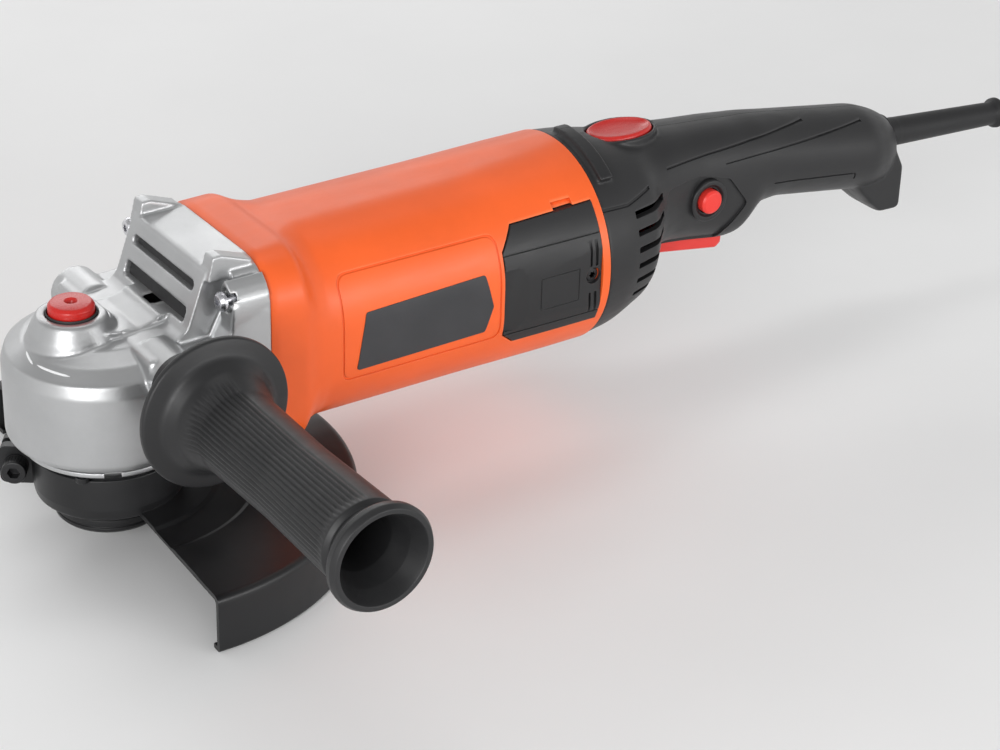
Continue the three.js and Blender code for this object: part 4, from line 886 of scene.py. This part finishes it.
for word, side in (("left", 1), ("right", -1)):
    finished(make_cover(side, f"brush_cover_{word}_visual"), black, "housing",
             f"brush_cover_{word}")
    screw = turned(f"brush_cover_screw_{word}_visual", softened([
        (0, side * 36), (1.5, side * 36), (1.5, side * 42.6, 0.1), (3, side * 42.6), (3, side * 43.8, 0.5),
        (0, side * 44.3)], 0.3), "y", (swivel_x + 8, 0, axle + 1.2), 40)
    cut(screw, prism("star", "y", star(1.7, swivel_x + 8, axle + 1.2), *side_range(side, 43.2, 50)))
    finished(screw, black_steel, "housing", f"brush_cover_screw_{word}")


def make_label(side, name):
    """A plain dark plate on the housing's side."""
    x, z = joint_x, axle
    outline = softened([(x - 44, z + 12.5), (x - 39.5, z - 12.5), (x - 101, z - 11.5), (x - 105, z - 0.5),
                        (x - 101, z + 14.5)], 1.5, True)
    plate = prism(name, "y", outline, *side_range(side, 20))
    return cut(shared(plate, barrel("skin", 0.3)), barrel("under", -0.2))


finished(make_label(1, "label_plate_left"), label, "housing")
finished(make_label(-1, "label_plate_right"), label, "housing")


# ---- rear handle
grip_start = swivel_x - 114
grip_end = grip_start - 60
handle_end = grip_end - 20


floor_z = axle - 21
grip_slope = 0.1627


def grip_axis(x):
    """The height of the sloping grip's middle."""
    return axle + 12.7 - grip_slope * (grip_start - x)


def handle_stations():
    """Rows of (x, bottom, top, half width, squareness) along the rear handle."""
    def centred(x, down, up, half_width, power=2.0):
        return (x, grip_axis(x) - down, grip_axis(x) + up, half_width, power)

    wide = swivel_radius
    return [
        centred(handle_end, 13, 13, 10.5, 2.1),
        centred(handle_end + 9, 18.6, 17.6, 16.6, 2.1),
        centred(grip_end, 20.2, 20.2, 20.2),
        centred(grip_start - 6, 20.2, 20.2, 20.2),
        (grip_start + 7, floor_z + 12, grip_axis(grip_start) + 21.2, 20.4, 2.2),
        (grip_start + 17, floor_z + 1.2, axle + 34.6, 21.4, 2.5),
        (grip_start + 26, floor_z + 0.6, axle + 35.6, 21.8, 2.6),
        (swivel_x - 68, floor_z + 4.2, axle + 37.2, 22.6, 2.6),
        (swivel_x - 54, floor_z + 6.2, axle + wide - 7.6, 24.6, 2.5),
        (swivel_x - 43, floor_z + 5.0, axle + wide - 7.2, 27.8, 2.3),
        (swivel_x - 38, axle - wide + 19, axle + wide - 6.6, 32.0, 2.2),
        (swivel_x - 31, axle - wide + 11, axle + wide - 5.6, 40.0, 2.1),
        (swivel_x - 14, axle - wide + 2.1, axle + wide - 1.6, 44.4, 2.0),
        (swivel_x - 0.3, axle - wide + 0.1, axle + wide - 0.1, wide - 0.1, 2.0),
    ]


def handle_body(name, shrink=0.0, sides=200):
    """The rear handle's outer form, shrunk inwards by a distance."""
    places = np.linspace(handle_end + shrink, swivel_x - 0.3, 190)
    sections = []
    for x, (bottom, top, half_width, power) in zip(places, eased(handle_stations(), places, 6.0)):
        inset = shrink + 1.8 * max(0.0, 1 - (x - handle_end) / 3.0) ** 2
        outline = oval(half_width - inset, (top - bottom) / 2 - inset, sides, 0.0, (bottom + top) / 2, power)
        sections.append([(x, y, z) for y, z in outline])
    return loft(name, sections)


def ribbon(name, points, width):
    """A strip along (x, z) points, which cuts a groove into the handle's left side."""
    line = softened(points, 12, False, 8)
    left, right = [], []
    for i, point in enumerate(line):
        before = Vector(line[max(i - 1, 0)])
        after = Vector(line[min(i + 1, len(line) - 1)])
        ahead = (after - before).normalized()
        across = Vector((-ahead.y, ahead.x)) * width / 2
        left.append(tuple(Vector(point) + across))
        right.append(tuple(Vector(point) - across))
    return prism(name, "y", left + right[::-1], 6, 60)


def release_oval(half_length, half_width):
    return oval(half_length, half_width, 72, release_x)


def make_handle():
    """The rear handle's solid form, with its hook, the release button's collar and a rib."""
    body = handle_body("handle_visual")
    end = handle_end - 3.4
    outline = softened([
        (grip_end + 12, grip_axis(grip_end) - 8), (grip_end + 2, grip_axis(grip_end) - 20.5, 8),
        (grip_end - 4, axle - 24, 6), (grip_end - 11, axle - 30, 5), (end, axle - 30.6, 3.2),
        (end, axle - 8, 8), (handle_end + 4, axle + 6)], 2, True, 8)
    middle = Vector((grip_end - 10, axle - 12))
    rings = []
    for t in np.linspace(-1, 1, 21):
        shrink = 1 - 0.09 * abs(t) ** 6
        ring = [middle + (Vector(point) - middle) * shrink for point in outline]
        rings.append([(x, 12.6 * t, z) for x, z in ring])
    hook = loft("hook", rings)
    collar = prism("collar", "z", release_oval(18.6, 12.8), axle + 30, release_high.z - 1.9)
    angles = [math.radians(a) for a in range(50, 97, 2)]
    rib_radius = swivel_radius + 2.3
    rib = prism("rib", "x",
                [(rib_radius * math.cos(a), axle + rib_radius * math.sin(a)) for a in angles] +
                [(38 * math.cos(a), axle + 38 * math.sin(a)) for a in reversed(angles)],
                swivel_x - 10.5, swivel_x - 4)
    return join(body, hook, collar, rib)


def side_panel(side):
    """The sunken panel around the lock-on button, as a body that cuts it."""
    outline = softened([
        (swivel_x - 41, axle + 14, 5), (swivel_x - 44.5, axle + 20.6, 4), (swivel_x - 65, axle + 21, 3),
        (lock_x - 13, axle + 15.6, 3), (lock_x - 24.5, axle + 1, 3), (lock_x - 14, axle - 12, 3),
        (lock_x - 10, floor_z - 20), (swivel_x - 38, floor_z - 20)], 2, True, 6)
    panel = prism("panel", "y", outline, *side_range(side, 12))
    return cut(panel, handle_body("under", 1.1, 160))


def lock_ring():
    """The raised ring round the lock-on button."""
    rise = lock_high.y - 2.4
    return turned("ring", softened([
        (0, 12), (9.7, 12), (9.7, rise, 1.2), (7.6, rise, 0.6), (6.6, rise - 1.4, 0.6),
        (0, rise - 1.4)], 0.5),
        "y", (lock_x, 0, lock_z), 96)


def make_handle_halves():
    hollow = cut(handle_body("hollow", 2.8, 96), box("keep", -500, handle_end + 12, -60, 60, 0, 200))
    body = cut(
        make_handle(), hollow,
        box("trigger_slot", grip_start + 13.5, swivel_x - 43, -7.5, 7.5, 0, axle - 4.5),
        prism("release_well", "z", release_oval(16.8, 10.9), axle + 25, 200),
        rod("boot_way", "x", 0, boot_z, 7.4, handle_end - 14, handle_end + 3, 48),
        rod("boot_seat", "x", 0, boot_z, 9.8, handle_end + 1.8, handle_end + 8.6, 48),
        rod("cord_way", "x", 0, boot_z, 4.2, handle_end, handle_end + 30, 32))
    body = cast(body, 0.72, 3)
    details = [side_panel(1), side_panel(-1)]
    vent_front = swivel_x - 17.6
    for k in range(6):
        middle = axle + 20.4 - 7.4 * k
        tall = 1.5 - 0.07 * k
        slot = softened(rectangle(vent_front - 22, vent_front, middle - tall, middle + tall), 0.7, True)
        details += [prism("vent", "y", slot, *side_range(s, 20)) for s in (1, -1)]
    for points, width in (
        ([(swivel_x - 46, axle + 29), (lock_x - 25, axle + 28.5), (grip_start - 20, axle + 27.7)], 0.8),
        ([(lock_x - 11, axle + 22.8), (grip_start - 9, axle + 21.7), (grip_end + 6, axle + 20.9)], 0.8),
        ([(grip_start + 3, axle + 5.8), (grip_end + 14, axle - 0.5), (grip_end + 13.6, axle - 4)], 0.9),
        ([(swivel_x - 0.5, axle + 26.1), (swivel_x - 15, axle + 25), (swivel_x - 30, axle + 27.6)], 1.2),
    ):
        strip = cut(ribbon("groove", points, width), handle_body("under", 0.65, 120))
        details += [strip, mirrored(strip, "groove_far")]
    body = join(cut(body, *details), lock_ring())
    body = cut(body, rod("lock_well", "y", lock_x, lock_z, 5.95, 6, 60, 64))
    halves = []
    for word, s in (("left", 1), ("right", -1)):
        keep = box("half", -500, -200, *side_range(s, 0.12, 80), -50, 200)
        halves.append(shared(copy_of(body, f"handle_{word}_visual"), keep))
    bpy.data.objects.remove(body)
    return halves


left_half, right_half = make_handle_halves()
finished(left_half, black, "rear_handle", "handle_left", 50)
finished(right_half, black, "rear_handle", "handle_right", 50)


def make_release():
    """An oval button with a rounded rim and a shallow dished top."""
    low, high = release_low.z, release_high.z - 0.9
    rings = [(1.0, low), (1.0, high - 2.2), (0.985, high - 1.3), (0.95, high - 0.55), (0.9, high - 0.1),
             (0.86, high), (0.82, high - 0.1), (0.76, high - 0.5), (0.6, high - 0.9), (0.3, high - 1.1)]
    sections = []
    for share, height in rings:
        rim = (1 - share) * 10.4
        sections.append([(x, y, height) for x, y in release_oval(16.3 - rim, 10.4 - rim)])
    return loft("release_button_visual", sections)


finished(make_release(), red, "release_button", "release_button", 60)
finished(turned("lock_on_button_visual", softened([
    (0, lock_low.y), (5.5, lock_low.y), (5.5, lock_high.y - 1.1, 1.0), (4.4, lock_high.y - 0.1, 0.8),
    (0, lock_high.y)], 0.4, steps=5), "y", (lock_x, 0, lock_z), 72),
    coral, "lock_on_button", "lock_on_button",
    60)


def make_trigger():
    x0, x1, z0, z1 = trigger_low.x, trigger_high.x, trigger_low.z, trigger_high.z
    outline = softened([(x1, z0 + 13), (x1, z1, 0.6), (x0 + 5, z1, 0.6), (x0 + 6, z0 + 5.5, 1.0),
                        (x0 + 8.5, z0 + 3.4, 2.5), (x1 - 4, z0 + 10.6, 3)], 1.2, True, 6)
    sections = []
    centre = Vector(((x0 + x1) / 2, (z0 + z1) / 2 + 3))
    for y, shrink in ((-7, 1.6), (-6.6, 0.7), (-6, 0.2), (-5.2, 0), (5.2, 0), (6, 0.2), (6.6, 0.7), (7, 1.6)):
        sections.append([
            (x - shrink * np.clip((x - centre.x) / 10, -1, 1), y,
             z - shrink * np.clip((z - centre.y) / 4, -1, 1)) for x, z in outline])
    body = loft("trigger_visual", sections)
    pivot = joint_pos["trigger_pull"]
    return cut(body, rod("pin", "y", pivot.x, pivot.z, 1.8, -20, 20, 24),
               box("spring_seat", x0 + 8, x0 + 18, -5, 5, z1 - 1, z1 + 5))


finished(make_trigger(), coral, "trigger", "trigger", 60)


def make_boot():
    """The flanged, tapering strain relief, with a rolled lip round the cord's way."""
    length, bore = 79.0, 4.2
    slope = 0.072
    taper = [(6.75 - 1.05 * t, 12.5 + 58 * t) for t in np.arange(40) / 40]
    profile = softened([
        (bore, 0), (9.5, 0), (9.5, 3.2), (6.9, 3.4), (6.9, 10), (6.75, 12), *taper, (5.6, 73.6), (5.7, 75),
        (7.2, 76.6), (7.35, 78.2), (6.8, length), (4.6, length), (bore, length - 0.8),
        (bore, 0)], 0.5, steps=3)
    boot = turned("cord_boot_visual", profile, sides=72)
    turn = Matrix.Rotation(-math.pi / 2 - math.atan(slope), 4, "Y")
    boot.data.transform(Matrix.Translation(Vector((boot_high.x, 0, boot_z)) * MM) @ turn)
    return boot


finished(make_boot(), rubber, "rear_handle", "cord_boot", 40)


# ---- floor, light, camera
def make_stage():
    floor_level = cad_bounds[0].z / MM - 0.4
    floor = new_object("floor", [(-4000, -4000, floor_level), (4000, -4000, floor_level),
                                 (4000, 4000, floor_level), (-4000, 4000, floor_level)], [(0, 1, 2, 3)])
    paper = Nodes("paper_floor")
    cloud = paper.spread(paper.noise(6.0), 0.0, 1.0)
    paper.paint(paper.mix(cloud, (0.86, 0.86, 0.86), (0.89, 0.89, 0.89)), 0.7)
    floor.data.materials.append(paper.material)

    world = bpy.data.worlds.new("studio")
    bpy.context.scene.world = world
    world.use_nodes = True
    tree = world.node_tree
    sky = tree.nodes.new("ShaderNodeTexCoord")
    split = tree.nodes.new("ShaderNodeSeparateXYZ")
    fade = tree.nodes.new("ShaderNodeMapRange")
    for key, value in (("From Min", 0.15), ("From Max", 0.75), ("To Min", 0.95), ("To Max", 0.38)):
        fade.inputs[key].default_value = value
    tree.links.new(sky.outputs["Generated"], split.inputs[0])
    tree.links.new(split.outputs["Z"], fade.inputs["Value"])
    tree.links.new(fade.outputs["Result"], tree.nodes["Background"].inputs["Strength"])
    tree.nodes["Background"].inputs["Color"].default_value = (1.0, 1.0, 1.0, 1.0)
    bpy.context.scene.view_settings.view_transform = "Standard"

    for name, place, aim, size, power in (
        ("key_softbox", (1.3, 1.2, 0.7), (-0.1, 0, 0.05), (0.9, 0.9), 20),
        ("side_softbox", (-0.9, 1.9, 0.5), (-0.2, 0, 0.06), (1.6, 0.5), 13),
        ("top_softbox", (-0.3, -0.5, 1.9), (-0.2, 0, 0.0), (1.6, 0.5), 4),
        ("rim_softbox", (-0.4, -1.6, 0.9), (-0.2, 0, 0.1), (1.6, 0.4), 6),
    ):
        lamp = bpy.data.lights.new(name, "AREA")
        lamp.shape = "RECTANGLE"
        lamp.size, lamp.size_y = size
        lamp.energy = power
        obj = bpy.data.objects.new(name, lamp)
        bpy.context.scene.collection.objects.link(obj)
        obj.location = place
        obj.rotation_euler = (Vector(aim) - Vector(place)).to_track_quat("-Z", "Y").to_euler()


def make_camera():
    camera = bpy.data.cameras.new("camera")
    camera.lens = 93.05
    camera.sensor_width = 36.0
    camera.clip_start, camera.clip_end = 0.05, 50
    obj = bpy.data.objects.new("camera", camera)
    bpy.context.scene.collection.objects.link(obj)
    location = Vector((0.3842, 0.8213, 0.5573))
    turn = Euler([math.radians(angle) for angle in (61.2265, -1.4955, 145.8283)])
    obj.matrix_world = Matrix.LocRotScale(location, turn, None)
    bpy.context.scene.camera = obj


make_stage()
make_camera()
